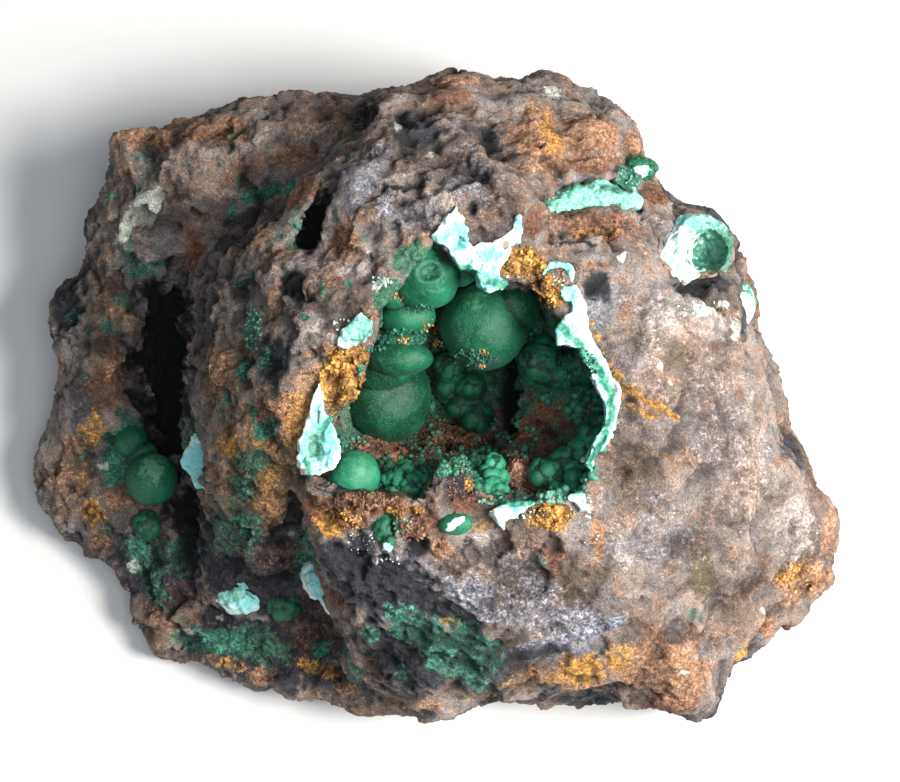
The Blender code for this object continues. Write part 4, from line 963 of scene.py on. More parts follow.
def joinedBalls(name, balls):
    allPoints, allFaces, start = [], [], 0
    axes = np.array([acrossDir, upDir, outDir])
    for ball in balls:
        middle, radii = ballFrame(ball)
        points, faces = ballPoints(globe["ballLevel"])
        allPoints.append(middle + points * radii @ axes * mm)
        allFaces.append(faces + start)
        start += len(points)
    big = max(max(ballFrame(ball)[1]) for ball in balls) > globe["bigFrom"]
    mesh = meshFrom(name, np.vstack(allPoints), np.vstack(allFaces))
    return cleanMesh(voxelSkin(mesh, globe["voxelBig" if big else "voxelSmall"]), globe["scrap"])


def globeMesh(name, balls):
    mesh = joinedBalls(name, balls)
    points = readPoints(mesh)
    gaps, surfaces = zip(*(ballGap(points, ball) for ball in balls))
    gaps = np.abs(np.array(gaps))
    order = np.argsort(gaps, axis=0)
    every = np.arange(len(points))
    nearest = np.array(surfaces)[order[0], every]
    second = gaps[order[1], every] if len(balls) > 1 else np.full(len(points), farOff)
    # away from the creases the points go back onto their balls, which smooths out the voxels' steps
    free = smoothStep(*globe["free"], second)[:, None]
    points = points * (1 - free) + nearest * free
    lumps = cloudField(points, globe["lumpSize"], 3, starts["lumps"])
    grains = cloudField(points, globe["grainSize"], 2, starts["grains"])
    height = globe["lump"] * lumps + globe["grain"] * grains
    # painted shade in the creases between the balls and between the beads
    creaseShade = smoothStep(globe["creaseShade"], 0.0, second)
    if name in pebbles:
        wide, depth = pebbles[name]
        bead = beadHeight(cellField(points, wide, starts["pebbles"])[:, 0])
        height += depth * (bead - globe["beadMiddle"])
        creaseShade = np.maximum(globe["ballCrease"] * creaseShade, 1 - globe["beadCrease"] * bead)
    points += readNormals(mesh) * (height * mm)[:, None]
    writePoints(mesh, points)
    ragged = globe["ragged"] * (lumps + grains)
    marks = {kind: flatPatches(places, onPlane(points), ragged) for kind, places in growthMarks.items()}
    for kind in ("broken", "dusty", "worn"):
        writeValues(mesh, kind, marks[kind])
    writeValues(mesh, "creaseShade", np.clip(np.maximum(creaseShade, marks["paintedShade"]), 0, 1))
    # the deep marks take painted shade off the lightness
    writeValues(mesh, "light", lightness.get(name, globe["lightness"]) - marks["deep"])
    return mesh


def pressDimple(mesh):
    def ring(middle, wide):
        return np.exp(-((reach - middle) / wide) ** 2)

    points = readPoints(mesh)
    flat = onPlane(points)
    reach = np.hypot(*ovalReach(flat, dimple["across"], dimple["up"], dimple["wide"], dimple["tall"]))
    reach += dimple["wander"] * cloudField(points, dimple["wanderSize"], 3, starts["dimple"])
    front = smoothStep(*dimple["front"], flat[:, 2])
    fold = ring(dimple["fold"], dimple["foldWide"])
    sink = dimple["lip"] * ring(*dimple["lipRing"]) - dimple["depth"] * ring(*dimple["bowlRing"])
    sink -= dimple["foldDepth"] * fold
    points += np.array(outDir) * (sink * front * mm)[:, None]
    writePoints(mesh, points)
    writeValues(mesh, "dusty", front * dimple["dust"] * ring(*dimple["dustRing"]))
    shaded = dimple["shade"] * front * (ring(*dimple["shadeRing"]) + dimple["foldShade"] * fold)
    writeValues(mesh, "creaseShade", np.clip(readValues(mesh, "creaseShade") + shaded, 0, 1))


# the greens, from deepest to palest, and what lies on them: painted sheen on the velvet's raised specks,
# painted shade in its low ones and in the creases
malachiteTones = {
    "green": [(0.0, (0.003, 0.050, 0.022)), (0.45, (0.006, 0.110, 0.050)), (1.0, (0.030, 0.275, 0.150))],
    "worn": (0.12, 0.34, 0.19), "velvetTop": (0.11, 0.43, 0.27), "velvetLow": (0.002, 0.03, 0.015),
    "dusty": [(0.38, (0.008, 0.028, 0.022)), (0.62, (0.10, 0.18, 0.14))],
    "creaseShade": [(0.4, (0.002, 0.010, 0.007)), (0.65, (0.02, 0.08, 0.05))],
    "broken": [(0.32, (0.10, 0.50, 0.42)), (0.46, (0.40, 0.80, 0.74)), (0.60, (0.90, 0.97, 0.95))],
}
# where each begins and is full, and what it is there
malachiteEdges = {
    "worn": (0.2, 1.0), "velvetTop": (0.55, 0.72, 0.0, 0.55), "velvetLow": (0.46, 0.30, 0.0, 0.6),
    "dusty": (0.35, 0.85), "creaseShade": (0.35, 0.95, 0.0, 0.9), "broken": (0.35, 0.55),
    "gloss": (0.3, 0.7, 0.34, 0.55),
}
malachiteNoises = {"broad": (3.0, 4, 0.6), "middle": (0.8, 5, 0.65), "velvet": (0.17, 3, 0.75)}
malachiteSheen = {
    "Sheen Weight": 0.05, "Sheen Roughness": 0.4, "Sheen Tint": (0.5, 0.95, 0.7, 1),
    "Specular IOR Level": 0.38,
}


def malachiteLook():
    look = Look("malachite")
    tones = malachiteTones
    edges = malachiteEdges
    broad, middle, velvet = (look.cloud(*numbers) for numbers in malachiteNoises.values())
    wander = look.around(middle, 1.0)

    def marked(name):
        return look.between(look.add(look.attribute(name), wander), *edges[name])

    light = look.add(look.attribute("light"), look.around(broad, 1.1))
    colour = look.mix(marked("worn"), look.ramp(light, *tones["green"]), tones["worn"])
    # painted sheen on the velvet's raised specks and painted shade in its low ones
    for part in ("velvetTop", "velvetLow"):
        colour = look.mix(look.between(velvet, *edges[part]), colour, tones[part])
    for part in ("dusty", "creaseShade"):
        colour = look.mix(marked(part), colour, look.ramp(velvet, *tones[part]))
    broken = look.between(look.attribute("broken"), *edges["broken"])
    colour = look.mix(broken, colour, look.ramp(middle, *tones["broken"]))
    normal = look.bump(look.add(velvet, look.times(middle, 0.35)), 0.6, 0.14)
    return look.finish(colour, look.between(velvet, *edges["gloss"]), normal, malachiteSheen)


# how far each rind's green edge reaches in from the mouth, in mm
rinds = {
    "top_shell": 0.7, "hook_shell": 0, "right_rind": 0.6, "corner_rind": 0.4, "front_rind": 0.5,
    "left_rind": 0.5, "side_rind": 0.5, "groove_shell": 0, "cup_lining": 0, "slit_lining": 0,
    "skirt_chip": 0, "gully_crust": 0,
}
rind = {
    "raggedCrumple": 0.35, "raggedFacets": 0.4, "edgeCrumple": 0.5, "voxel": 0.13, "wander": 0.26,
    "wanderSize": 1.1, "finerBy": 2.6, "finerShare": 0.5, "facetSize": 1.3, "facet": 0.28,
    "facetTop": 0.5, "crumpleSize": 0.6, "crumple": 0.12, "greenEdge": (1.2, 0.2),
    "blueEdge": (2.6, 0.8), "blueShare": 0.6, "crackEdge": (1.5, 0.6), "raised": 0.3,
}
# the colours of the rinds, later ones over earlier ones: oval() names the numbers
rindMarks = {
    "turquoise": [
        (0.9, 15.5, 1.2, 1.7), (-0.6, 15.3, 1.0, 1.0, 0.7), (3.9, 13.7, 1.2, 0.8, 0.9),
        (6.9, 16.6, 0.5, 1.3, 0.8), (3.7, 10.9, 1.6, 1.0), (1.8, 13.0, 0.7, 0.5, 0.6),
        (10.6, 12.3, 2.2, 1.2, 0.9), (11.5, 9.4, 1.3, 1.7, 0.9), (11.5, 6.0, 1.2, 0.9, 0.9),
        (15.5, 1.6, 0.5, 0.7, 0.7), (13.4, -6.3, 0.5, 0.6, 0.6), (-9.1, 5.8, 1.4, 1.2, 0.9),
        (-11.0, 5.4, 0.7, 0.6, 0.5), (-12.0, -5.6, 0.6, 2.4, 0.8), (-13.9, -5.8, 1.3, 1.7),
        (6.7, -11.7, 0.6, 0.5, 0.9), (-25.0, -8.5, 3.0, 3.6, 0.8), (24.6, 17.2, 2.6, 1.0, 0.9),
        (12.0, 19.0, 2.6, 1.2, 0.85), (18.4, 18.4, 1.6, 1.0, 0.7, -30), (-20.6, -20.6, 2.4, 1.6, 0.8),
        (-12.6, -18.8, 1.8, 2.4, 0.75), (14.2, -1.4, 0.5, 0.8, 0.5), (-12.6, -2.0, 0.6, 1.2, 0.5),
        (22.2, 12.6, 0.8, 0.8, 0.5), (12.8, 4.0, 0.5, 0.6, 0.4), (14.4, 19.6, 4.5, 1.6, 0.7, -5),
        (27.6, 16.0, 1.2, 1.2, 0.9), (12.6, 1.6, 0.8, 1.2, 0.6), (15.8, -2.6, 0.6, 1.2, 0.5),
        (2.6, 11.6, 0.7, 0.6, 0.8), (-12.8, -5.0, 1.9, 3.2, 0.75), (-13.2, -1.6, 0.6, 1.2, 0.6),
    ],
    "green": [
        (9.6, 18.6, 1.6, 1.3), (12.6, 20.6, 2.4, 0.7, 0.9, 5), (16.5, 20.0, 2.0, 0.6, 0.8, -15),
        (12.2, 18.2, 1.0, 0.5, 0.5), (-14.1, -5.4, 0.6, 0.7, 0.5), (-10.4, -5.4, 0.4, 1.8, 0.9),
        (3.2, 10.2, 0.8, 0.3, 0.7), (-22.0, -19.6, 0.7, 0.6, 0.4), (7.2, -11.3, 1.6, 0.3, 0.8, 10),
        (28.0, 13.2, 0.5, 1.2, 0.4),
    ],
    "mint": [
        (14.0, 19.4, 6.0, 2.4), (25.8, 17.0, 3.0, 1.5), (10.0, 18.4, 1.4, 1.0), (-13.6, -5.4, 1.1, 1.9),
        (28.2, 15.6, 1.0, 1.6, 0.8), (-9.0, 6.2, 2.0, 1.5), (2.6, 11.4, 1.4, 0.5, 0.8),
        (-22.0, -20.4, 1.8, 1.0, 0.7),
    ],
    # painted shade in the hollows of the cup, the slit and the left rind
    "paintedShade": [
        (26.6, 13.6, 2.8, 3.0, 0.88), (28.3, 14.6, 1.2, 3.0, 0.8), (9.4, 18.6, 1.0, 0.9, 0.7),
        (11.8, 20.6, 2.6, 0.6, 0.8, 5), (16.6, 20.2, 2.2, 0.6, 0.7, -12), (-13.6, -5.6, 0.75, 1.25, 0.8),
        (28.5, 14.2, 0.9, 3.2),
    ],
    "stain": [
        (14.6, 18.0, 2.0, 0.35, 0.7, -3), (11.6, 17.8, 1.0, 0.3, 0.6, 10), (25.6, 10.2, 3.0, 1.2, 1.0, -5),
        (28.9, 12.4, 0.9, 2.6), (26.6, 11.3, 2.2, 0.9), (9.4, 17.5, 0.8, 0.5, 0.6),
        (5.6, 14.6, 0.5, 0.6, 0.7), (-11.6, 4.3, 0.7, 0.5, 0.7), (4.2, -12.0, 0.5, 0.4, 0.6),
        (-14.9, -8.0, 0.7, 0.4, 0.8), (16.6, 0.6, 0.35, 0.9, 0.6),
    ],
}

# fine cracks: (half width, the points it runs through)
rindCracks = [
    (0.10, [(-13.1, -2.1), (-13.2, -3.1)]), (0.12, [(1.0, 15.4), (1.5, 15.0)]),
    (0.07, [(2.6, 13.9), (3.4, 12.9), (3.0, 12.0)]), (0.07, [(-20.4, -20.2), (-19.6, -20.8)]),
    (0.06, [(-9.9, 5.2), (-8.6, 5.0)]),
]
# hollows in the rinds: (across, up, half width, half height, depth)
rindHollows = [
    (-13.5, -5.5, 0.9, 1.6, 0.8), (0.7, 15.3, 0.8, 0.9, 0.5), (3.8, 13.2, 1.1, 0.8, 0.5),
    (11.0, 11.4, 0.9, 1.3, 0.4),
]
# some shells are drawn out: (the middle it starts from, the way it goes, how far, how wide it is)
drawnOut = {"cup_lining": ((25.0, 14.4), (-0.75, -0.66), 2.0, 3.4)}
# and some are larger than their CAD solids, by this much
grown = {"groove_shell": 1.45, "gully_crust": 1.25, "skirt_chip": 1.2}


def wandered(points, sizeMm, start):
    return np.array([noise.noise_vector(p)[:] for p in listOf(points, sizeMm, start)])


def bentRind(name, points):
    if name in grown:
        middle = points.mean(axis=0)
        points = middle + (points - middle) * grown[name]
    if name in drawnOut:
        begin, way, far, wide = drawnOut[name]
        along = ((onPlane(points)[:, :2] - begin) @ np.array(way)).clip(0) / wide
        step = np.array(acrossDir) * way[0] + np.array(upDir) * way[1] + np.array(outDir) * rind["raised"]
        points += step * (far * mm * along ** 3)[:, None]
    for across, up, halfWidth, halfHeight, depth in rindHollows:
        reach = np.hypot(*ovalReach(onPlane(points), across, up, halfWidth, halfHeight))
        points -= np.array(outDir) * (depth * mm * np.exp(-reach ** 2))[:, None]
    return points


def rindMesh(name):
    if name in globes:
        mesh = globeMesh(name, globes[name])
    else:
        mesh = voxelSkin(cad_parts[name].data.copy(), rind["voxel"])
    points = readPoints(mesh)
    wander = wandered(points, rind["wanderSize"], starts["bend"])
    finerSize = rind["wanderSize"] / rind["finerBy"]
    wander += rind["finerShare"] * wandered(points, finerSize, starts["finerBend"])
    points += wander * rind["wander"] * mm
    crumple = cloudField(points, rind["crumpleSize"], 3, starts["crumple"])
    cells = cellField(points, rind["facetSize"], starts["cells"])
    facets = np.minimum(cells[:, 1] - cells[:, 0], rind["facetTop"]) - rind["facetTop"] / 2
    points += readNormals(mesh) * ((crumple * rind["crumple"] + facets * rind["facet"]) * mm)[:, None]
    points = bentRind(name, points)
    writePoints(mesh, points)
    flat = onPlane(points)
    ragged = rind["raggedCrumple"] * crumple + rind["raggedFacets"] * facets
    for kind, places in rindMarks.items():
        writeValues(mesh, kind, flatPatches(places, flat, ragged))
    if rinds[name]:
        reach = fromMouth(flat) / rinds[name] + rind["edgeCrumple"] * crumple
        green, blue = smoothStep(*rind["greenEdge"], reach), smoothStep(*rind["blueEdge"], reach)
        writeValues(mesh, "green", np.maximum(readValues(mesh, "green"), green))
        writeValues(mesh, "turquoise", np.maximum(readValues(mesh, "turquoise"), rind["blueShare"] * blue))
    cracks = np.zeros(len(flat))
    for halfWidth, line in rindCracks:
        cracks = np.maximum(cracks, smoothStep(*rind["crackEdge"], fromLine(flat, line) / halfWidth))
    writeValues(mesh, "crack", cracks)
    return mesh


# for each mark, where it begins and is full, and its colours from dark to light
rindTones = {
    "turquoise": (
        0.25, 0.75,
        (0.3, (0.14, 0.52, 0.50)), (0.6, (0.30, 0.74, 0.72)), (0.8, (0.50, 0.86, 0.84)),
    ),
    "green": (0.35, 0.85, (0.3, (0.012, 0.13, 0.075)), (0.7, (0.06, 0.33, 0.22))),
    "mint": (
        0.3, 0.8,
        (0.3, (0.045, 0.24, 0.16)), (0.5, (0.16, 0.47, 0.36)), (0.72, (0.48, 0.79, 0.68)),
    ),
    # painted shade, dark green
    "paintedShade": (0.35, 0.85, (0.3, (0.010, 0.065, 0.043)), (0.7, (0.055, 0.23, 0.15))),
    "stain": (0.35, 0.75, (0.3, (0.08, 0.05, 0.032)), (0.7, (0.33, 0.23, 0.16))),
}
rindPlain = {
    "white": [(0.38, (0.36, 0.68, 0.63)), (0.48, (0.68, 0.83, 0.81)), (0.60, (0.88, 0.92, 0.93))],
    "crack": (0.03, 0.07, 0.06), "speck": (0.30, 0.22, 0.13), "speckEdge": (0.68, 0.74, 0.0, 0.7),
    "gloss": (0.3, 0.7, 0.25, 0.5),
}
rindNoises = {"broad": (1.5, 5, 0.65, 0.8), "fibres": (0.25, 4, 0.7), "specks": (0.6, 5, 0.8)}


def rindLook():
    look = Look("brokenRind")
    broad, fibres, specks = (look.cloud(*numbers) for numbers in rindNoises.values())
    wander = look.around(broad, 0.9)
    colour = look.ramp(broad, *rindPlain["white"])
    for kind, (begin, full, *tones) in rindTones.items():
        edge = look.between(look.add(look.attribute(kind), wander), begin, full)
        colour = look.mix(edge, colour, look.ramp(fibres, *tones))
    colour = look.mix(look.attribute("crack"), colour, rindPlain["crack"])
    colour = look.mix(look.between(specks, *rindPlain["speckEdge"]), colour, rindPlain["speck"])
    normal = look.bump(look.add(fibres, look.times(broad, 0.8)), 0.5, 0.2)
    return look.finish(colour, look.between(fibres, *rindPlain["gloss"]), normal)


# crumbs, small beads and chips that lie on the rock and the growths
# (across, up, half width, half height, how many, smallest, largest radius in mm)
crumbs = {
    "rustCrumbs": {
        "zones": [
            (-8.2, -11.0, 3.4, 0.9, 200, 0.05, 0.16), (-6.5, -6.0, 4.0, 1.8, 360, 0.06, 0.18),
            (0.5, -5.4, 4.0, 2.0, 300, 0.06, 0.18), (7.0, -8.6, 1.8, 2.6, 200, 0.06, 0.18),
            (10.4, -3.0, 3.0, 3.4, 60, 0.06, 0.16), (12.2, 3.5, 1.6, 1.1, 90, 0.06, 0.18),
            (1.0, -9.4, 1.6, 1.8, 120, 0.06, 0.18), (-3.4, -14.2, 1.6, 1.0, 60, 0.06, 0.2),
            (11.6, 12.2, 1.4, 0.8, 60, 0.06, 0.2), (-1.5, 2.0, 2.4, 2.4, 90, 0.06, 0.16),
            (15.4, 16.1, 4.0, 0.9, 40, 0.06, 0.16), (-16.2, -2.2, 2.6, 2.2, 60, 0.06, 0.18),
        ],
        "tones": ((0.036, 0.017, 0.011), (0.16, 0.075, 0.043), (0.38, 0.21, 0.13)),
        "level": 1, "ragged": 0.35, "on": "crusted", "slot": "ironstone",
    },
    "ochreCrumbs": {
        "zones": [
            (-10.6, 1.2, 3.2, 3.8, 260, 0.05, 0.14), (7.2, 12.8, 2.9, 1.8, 120, 0.05, 0.14),
            (9.9, 10.2, 2.0, 2.0, 100, 0.05, 0.14), (9.9, -12.6, 2.8, 1.4, 140, 0.05, 0.15),
            (-5.3, -12.2, 0.7, 0.9, 50, 0.06, 0.16), (-3.5, -11.9, 1.0, 0.35, 40, 0.06, 0.14),
            (5.0, 14.3, 1.6, 0.4, 60, 0.06, 0.16), (-10.1, -12.6, 1.6, 1.2, 110, 0.06, 0.18),
            (1.9, -9.5, 0.4, 0.5, 30, 0.06, 0.16), (16.5, 1.6, 0.4, 0.4, 24, 0.06, 0.14),
            (35.0, -18.6, 2.4, 1.6, 60, 0.07, 0.2), (-21.8, -5.6, 1.7, 1.5, 50, 0.06, 0.18),
        ],
        "tones": ((0.07, 0.03, 0.011), (0.31, 0.145, 0.036), (0.78, 0.46, 0.11)),
        "level": 1, "ragged": 0.35, "on": "crusted", "slot": "ironstone",
    },
    "strayCrumbs": {
        "zones": [
            (-4.6, 5.1, 0.6, 0.4, 30, 0.06, 0.18), (-1.4, 4.8, 0.7, 0.4, 30, 0.06, 0.18),
            (-2.2, 6.4, 0.9, 1.0, 26, 0.06, 0.18), (-5.4, 9.4, 0.7, 0.4, 16, 0.06, 0.18),
            (3.3, 3.9, 0.5, 0.3, 20, 0.06, 0.18), (3.2, 2.5, 0.4, 0.3, 16, 0.06, 0.18),
            (-7.6, 7.2, 0.5, 0.4, 10, 0.06, 0.16),
        ],
        "tones": ((0.22, 0.09, 0.02), (0.5, 0.23, 0.06), (0.78, 0.44, 0.14)),
        "level": 1, "ragged": 0.35, "on": "all", "slot": "ironstone",
    },
    "mossBeads": {
        "zones": [
            (-4.6, 5.4, 3.0, 0.8, 150, 0.07, 0.22), (2.0, 3.4, 2.2, 0.9, 150, 0.07, 0.2),
            (-3.0, 8.2, 1.4, 0.5, 50, 0.07, 0.18), (12.8, 2.6, 2.0, 1.6, 110, 0.08, 0.22),
            (-7.4, 4.4, 1.0, 0.5, 40, 0.07, 0.2),
        ],
        "tones": ((0.004, 0.034, 0.02), (0.012, 0.095, 0.055), (0.05, 0.22, 0.145)),
        "level": 2, "ragged": 0.12, "on": "all", "slot": "malachite",
    },
    "greenBeads": {
        "zones": [
            (-5.4, -8.2, 3.6, 1.8, 150, 0.15, 0.42), (-0.4, 1.0, 2.6, 4.0, 150, 0.15, 0.45),
            (-2.0, -7.0, 5.0, 1.6, 120, 0.12, 0.36), (14.4, -3.4, 1.6, 3.4, 60, 0.25, 0.6),
            (5.2, -5.0, 4.6, 2.2, 90, 0.12, 0.34), (3.6, -7.2, 1.6, 1.6, 40, 0.2, 0.45),
            (12.0, -8.2, 2.8, 2.2, 60, 0.2, 0.5), (-10.0, -6.2, 3.0, 1.6, 80, 0.12, 0.34),
            (9.6, -0.8, 0.45, 0.45, 3, 0.35, 0.45), (12.6, -2.2, 0.9, 0.9, 9, 0.45, 0.8),
            (6.6, -10.7, 1.6, 0.6, 50, 0.12, 0.3), (13.6, 0.6, 1.6, 1.8, 60, 0.16, 0.42),
            (-3.0, -3.0, 3.0, 2.0, 60, 0.12, 0.38), (-9.0, 0.0, 1.6, 3.0, 60, 0.16, 0.38),
            (7.6, 6.0, 1.4, 3.0, 50, 0.16, 0.42), (0.5, -7.5, 3.0, 0.8, 60, 0.14, 0.36),
        ],
        "tones": ((0.008, 0.065, 0.037), (0.024, 0.165, 0.095), (0.09, 0.34, 0.22)),
        "level": 2, "ragged": 0.05, "on": "rock", "slot": "malachite",
    },
    "sageBeads": {
        "zones": [
            (9.6, -10.7, 3.4, 0.55, 90, 0.12, 0.3), (4.6, -11.0, 1.8, 0.4, 30, 0.1, 0.24),
            (-19.7, 6.1, 0.9, 2.1, 60, 0.08, 0.2), (1.6, -7.6, 0.8, 0.5, 30, 0.1, 0.2),
            (0.0, -8.1, 0.8, 0.4, 26, 0.08, 0.18), (-5.0, -13.2, 1.1, 0.9, 40, 0.08, 0.2),
            (17.8, 21.1, 1.2, 1.1, 24, 0.1, 0.22),
        ],
        "tones": ((0.04, 0.14, 0.095), (0.11, 0.3, 0.21), (0.28, 0.52, 0.41)),
        "level": 2, "ragged": 0.12, "on": "rock", "slot": "malachite",
    },
    "paleChips": {
        "zones": [
            (-8.9, -15.0, 1.4, 1.3, 34, 0.04, 0.13), (-6.2, -17.0, 1.4, 0.4, 10, 0.08, 0.22),
            (7.2, -12.2, 1.8, 0.6, 26, 0.08, 0.28), (-6.8, 11.0, 1.2, 0.6, 22, 0.06, 0.2),
            (14.0, -13.0, 1.0, 2.6, 14, 0.07, 0.18), (25.2, 8.2, 2.6, 0.9, 22, 0.06, 0.18),
            (11.4, 10.6, 1.4, 1.2, 14, 0.08, 0.22), (-10.6, 6.4, 1.2, 0.8, 12, 0.07, 0.2),
            (5.0, 12.0, 3.0, 1.0, 12, 0.07, 0.18),
        ],
        "tones": ((0.2, 0.46, 0.38), (0.55, 0.78, 0.7), (0.9, 0.95, 0.92)),
        "level": 1, "ragged": 0.45, "on": "rock", "slot": "malachite",
    },
}
# how crumbs sit, and how far neighbours share a tone
crumb = {"seated": 0.35, "ownTone": 0.55, "sharedSize": 1.4, "flatter": 1.2, "smallerMore": 2}


def crumbMesh(name, piece, trees, seed):
    dice = np.random.default_rng(seed)
    shape, faces = ballPoints(piece["level"])
    ragged = piece["ragged"]
    allPoints, allFaces, tones, start = [], [], [], 0
    # the draws keep this order: each piece is scattered the same way in every run
    for across, up, halfWidth, halfHeight, count, smallest, largest in piece["zones"]:
        for _ in range(count):
            angle, reach = dice.random() * 2 * math.pi, math.sqrt(dice.random())
            size = smallest + (largest - smallest) * dice.random() ** crumb["smallerMore"]
            stretch = dice.uniform(1 - ragged * crumb["flatter"], 1 + ragged, 3)
            rough = dice.uniform(1 - ragged, 1 + ragged, len(shape))
            turn = Matrix.Rotation(dice.random() * 2 * math.pi, 3, Vector(dice.normal(size=3)).normalized())
            tone = dice.random()
            reachAcross = across + halfWidth * reach * math.cos(angle)
            reachUp = up + halfHeight * reach * math.sin(angle)
            hit, normal, _, _ = seenFrom(trees[piece["on"]], reachAcross, reachUp)
            if hit is None or normal is None:
                continue
            shared = 0.5 + noise.noise(hit / (crumb["sharedSize"] * mm))
            tone = crumb["ownTone"] * tone + (1 - crumb["ownTone"]) * shared
            lump = (shape * rough[:, None] * stretch * size) @ np.array(turn)
            allPoints.append(np.array(hit + normal * size * crumb["seated"] * mm) + lump * mm)
            allFaces.append(faces + start)
            tones.append(np.full(len(shape), tone))
            start += len(shape)
    return meshFrom(name, np.vstack(allPoints), np.vstack(allFaces), {"tone": np.concatenate(tones)})


def crumbLook(name, tones):
    look = Look(name)
    fine = look.cloud(0.25, 4, 0.75)
    value = look.add(look.times(look.attribute("tone"), 0.75), look.times(fine, 0.5))
    colour = look.ramp(value, *zip((0.3, 0.62, 0.95), tones))
    return look.finish(colour, 0.55, look.bump(fine, 0.6, 0.1))


# crumbly crusts grown over the rock: (across, up, half width, half height, how high in mm)
crusts = {
    "ochreCrust": {
        "zones": [
            (-10.6, 1.2, 2.4, 3.0, 0.9), (7.2, 12.8, 2.2, 1.2, 0.7), (9.9, 10.2, 1.5, 1.5, 0.7),
            (9.9, -12.5, 2.3, 1.1, 0.8), (5.0, 14.3, 1.6, 0.4, 0.4), (-5.5, -12.0, 1.3, 0.5, 0.4),
        ],
        "tones": ((0.055, 0.022, 0.009), (0.3, 0.135, 0.032), (0.8, 0.46, 0.1)),
        "step": 0.085, "grain": 0.3, "seed": 3.3,
    },
    "rustCrust": {
        "zones": [
            (-8.2, -11.0, 3.2, 0.8, 0.6), (-6.5, -6.2, 3.6, 1.5, 0.6), (7.0, -8.6, 1.7, 2.2, 0.6),
            (-3.4, -13.4, 1.4, 0.9, 0.5), (0.5, -4.8, 3.4, 1.4, 0.4), (-9.6, -12.6, 1.4, 1.1, 0.4),
        ],
        "tones": ((0.036, 0.017, 0.011), (0.18, 0.082, 0.047), (0.44, 0.25, 0.155)),
        "step": 0.1, "grain": 0.33, "seed": 7.1,
    },
}
crust = {
    "patchMiddle": 0.55, "reliefMost": 1.3, "swellMiddle": 0.5, "swellMost": 1.2, "sunk": 0.25,
    "jump": 0.8, "ragged": 0.8, "scrap": 60, "wander": 0.9, "edge": (1.0, 0.55), "upright": 0.6,
    "patchSize": 1.3, "patchLeast": 0.1, "patchMost": 1.2, "fineSize": 0.22, "fine": 0.35,
    "swellSize": 1.6, "base": 0.1, "relief": 0.3, "swell": 0.7,
}


def crustSheet(piece, tree):
    # a grid laid on the rock wherever a zone covers it, without the faces that would bridge a drop
    tops, seats, faces, values = [], [], [], []
    step = piece["step"]
    for across, up, halfWidth, halfHeight, high in piece["zones"]:
        grid = {}
        rows, columns = int(halfHeight / step) + 3, int(halfWidth / step) + 3
        for row in range(-rows, rows + 1):
            for column in range(-columns, columns + 1):
                here = Vector((across + column * step, up + row * step, piece["seed"]))
                reach = math.hypot(column * step / halfWidth, row * step / halfHeight)
                reach += crust["ragged"] * noise.fractal(here * crust["wander"], 1, 2, 3)
                if reach > 1:
                    continue
                hit, normal, _, _ = seenFrom(tree, here.x, here.y)
                if hit is None:
                    continue
                grid[row, column] = len(tops)
                tops.append(hit)
                seats.append((normal * crust["upright"] + outDir * (1 - crust["upright"])).normalized())
                values.append(high * float(smoothStep(*crust["edge"], reach)))
        for row, column in grid:
            places = [(row, column), (row, column + 1), (row + 1, column + 1), (row + 1, column)]
            corners = [grid.get(spot) for spot in places]
            if None in corners:
                continue
            depths = [tops[corner].dot(outDir) for corner in corners]
            if max(depths) - min(depths) < crust["jump"] * mm:
                faces.append(corners)
    return np.array(tops), np.array(seats), np.array(values), faces


def crustMesh(name, piece, tree):
    points, seats, values, faces = crustSheet(piece, tree)
    seed = piece["seed"]
    grains = beadHeight(cellField(points, piece["grain"], seed)[:, 0])
    patchy = crust["patchMiddle"] + cloudField(points, crust["patchSize"], 3, seed)
    patchy = np.clip(patchy, crust["patchLeast"], crust["patchMost"])
    fine = cloudField(points, crust["fineSize"], 3, seed)
    relief = np.clip(grains * patchy + crust["fine"] * fine, 0, crust["reliefMost"])
    swells = crust["swellMiddle"] + cloudField(points, crust["swellSize"], 3, seed + 2)
    swells = np.clip(swells, 0, crust["swellMost"])
    lift = crust["base"] + crust["relief"] * relief + crust["swell"] * swells
    raised = points + seats * (values * lift * mm)[:, None]
    sunk = points - seats * crust["sunk"] * mm
    # the underside and the rim close the crust
    count = len(points)
    edges = [edge for face in faces for edge in zip(face, face[1:] + face[:1])]
    uses = dict.fromkeys(edges)
    closed = list(faces)
    closed += [[corner + count for corner in reversed(face)] for face in faces]
    closed += [[end, start, start + count, end + count] for start, end in uses if (end, start) not in uses]
    # the tone follows the crust's height, so its raised grains are painted lighter and its low places
    # painted darker
    tones = np.concatenate([relief, relief])
    return cleanMesh(meshFrom(name, np.vstack([raised, sunk]), closed, {"tone": tones}), crust["scrap"])


def crustLook(name, tones):
    look = Look(name)
    fine = look.cloud(0.22, 4, 0.8)
    value = look.add(look.times(look.attribute("tone"), 0.25), look.times(fine, 0.75))
    value = look.add(value, look.around(look.cloud(1.6, 4, 0.6), 1.3))
    colour = look.ramp(value, *zip((0.26, 0.46, 0.74), tones))
    return look.finish(colour, 0.7, look.bump(fine, 0.7, 0.12))


# floor, lights and camera: directions are (across, up, out), distances and sizes of the lights in metres
studio = {
    "floor": 1.2, "floorTone": (0.74, 0.735, 0.72), "grainDark": 0.985, "sky": 0.16,
    "skyTone": (0.86, 0.92, 1.0), "cameraFar": 300.0, "lens": 120.0, "sensor": 36.0, "nearest": 0.01,
}
lamps = {
    "keyLight": {
        "from": (0.66, -0.02, 0.74), "far": 0.26, "size": 0.13, "power": 1.9, "tone": (1.0, 0.97, 0.93),
    },
    "fillLight": {
        "from": (0.05, -0.1, 1.0), "far": 0.5, "size": 0.3, "power": 1.1, "tone": (0.85, 0.92, 1.0),
    },
}


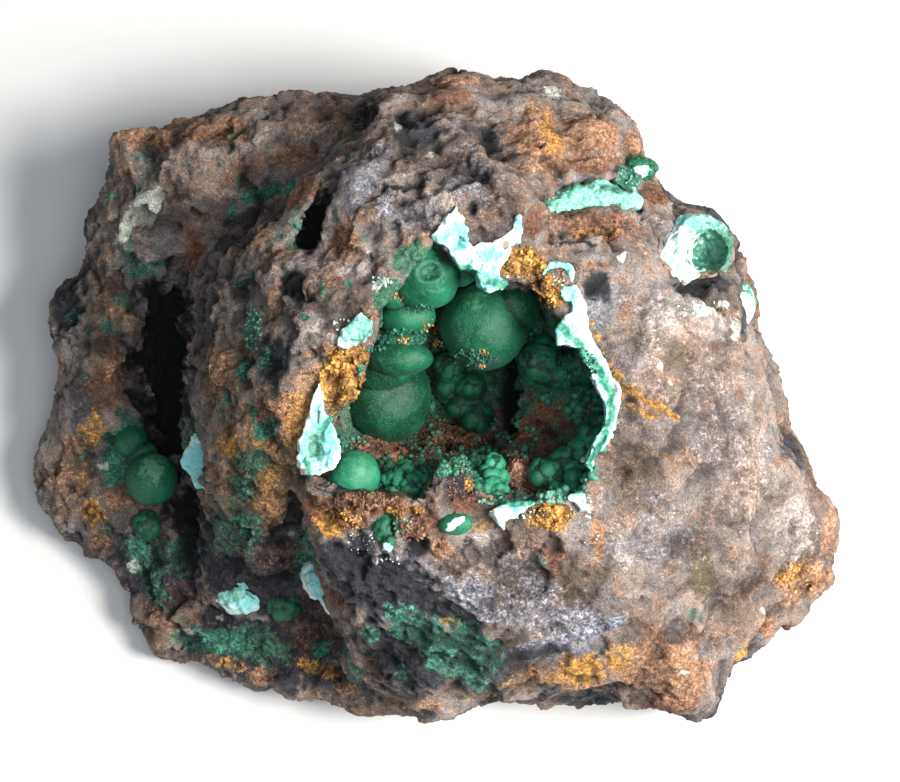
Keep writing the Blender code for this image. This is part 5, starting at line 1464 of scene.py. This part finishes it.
def buildStudio():
    bpy.ops.mesh.primitive_plane_add(size=studio["floor"])
    floor = bpy.context.object
    floor.name = "studioFloor"
    look = Look("floorPaper")
    grain = look.cloud(1.5, 3, 0.5)
    darker = tuple(tone * studio["grainDark"] for tone in studio["floorTone"])
    floor.data.materials.append(look.finish(look.mix(grain, darker, studio["floorTone"]), 0.9))

    for name, lamp in lamps.items():
        data = bpy.data.lights.new(name, "AREA")
        data.energy = lamp["power"]
        data.size = lamp["size"]
        data.color = lamp["tone"]
        light = bpy.data.objects.new(name, data)
        bpy.context.collection.objects.link(light)
        across, up, out = lamp["from"]
        towards = (acrossDir * across + upDir * up + outDir * out).normalized()
        light.location = place(0, 0, 0) + towards * lamp["far"]
        light.rotation_euler = towards.to_track_quat("Z", "Y").to_euler()
    world = bpy.data.worlds.new("studioSky")
    bpy.context.scene.world = world
    world.use_nodes = True
    sky = world.node_tree.nodes["Background"]
    sky.inputs["Color"].default_value = (*studio["skyTone"], 1)
    sky.inputs["Strength"].default_value = studio["sky"]
    bpy.context.scene.view_settings.view_transform = "Standard"

    data = bpy.data.cameras.new("viewer")
    data.lens = studio["lens"]
    data.sensor_width = studio["sensor"]
    data.clip_start = studio["nearest"]
    camera = bpy.data.objects.new("viewer", data)
    bpy.context.collection.objects.link(camera)
    camera.location = place(0, 0, 0) + outDir * studio["cameraFar"] * mm
    camera.rotation_euler = outDir.to_track_quat("Z", "Y").to_euler()
    bpy.context.scene.camera = camera


# putting it together
buildStudio()
print("studio ready")
ironstone = buildRock(rockLook())
print("rock ready")

greens = malachiteLook()
brokenRind = rindLook()
growths = []
for name, balls in globes.items():
    if name in rinds:
        continue
    mesh = globeMesh(name, balls)
    if name == "wall_globes":
        pressDimple(mesh)
    growths.append(linkPiece(name + "_fine", mesh, greens, [name]))
for name in rinds:
    growths.append(linkPiece(name + "_fine", rindMesh(name), brokenRind, [name]))
print("growths ready")

trees = {"rock": treeOf([ironstone])}
scabs = []
for name, piece in crusts.items():
    mesh = crustMesh(name, piece, trees["rock"])
    scabs.append(linkPiece(name, mesh, crustLook(name, piece["tones"])))
print("crusts ready")
trees["crusted"] = treeOf([ironstone] + scabs)
trees["all"] = treeOf([ironstone] + scabs + growths)
for seed, (name, piece) in enumerate(crumbs.items()):
    mesh = crumbMesh(name, piece, trees, seed + 1)
    linkPiece(name, mesh, crumbLook(name, piece["tones"]))
print("crumbs ready")
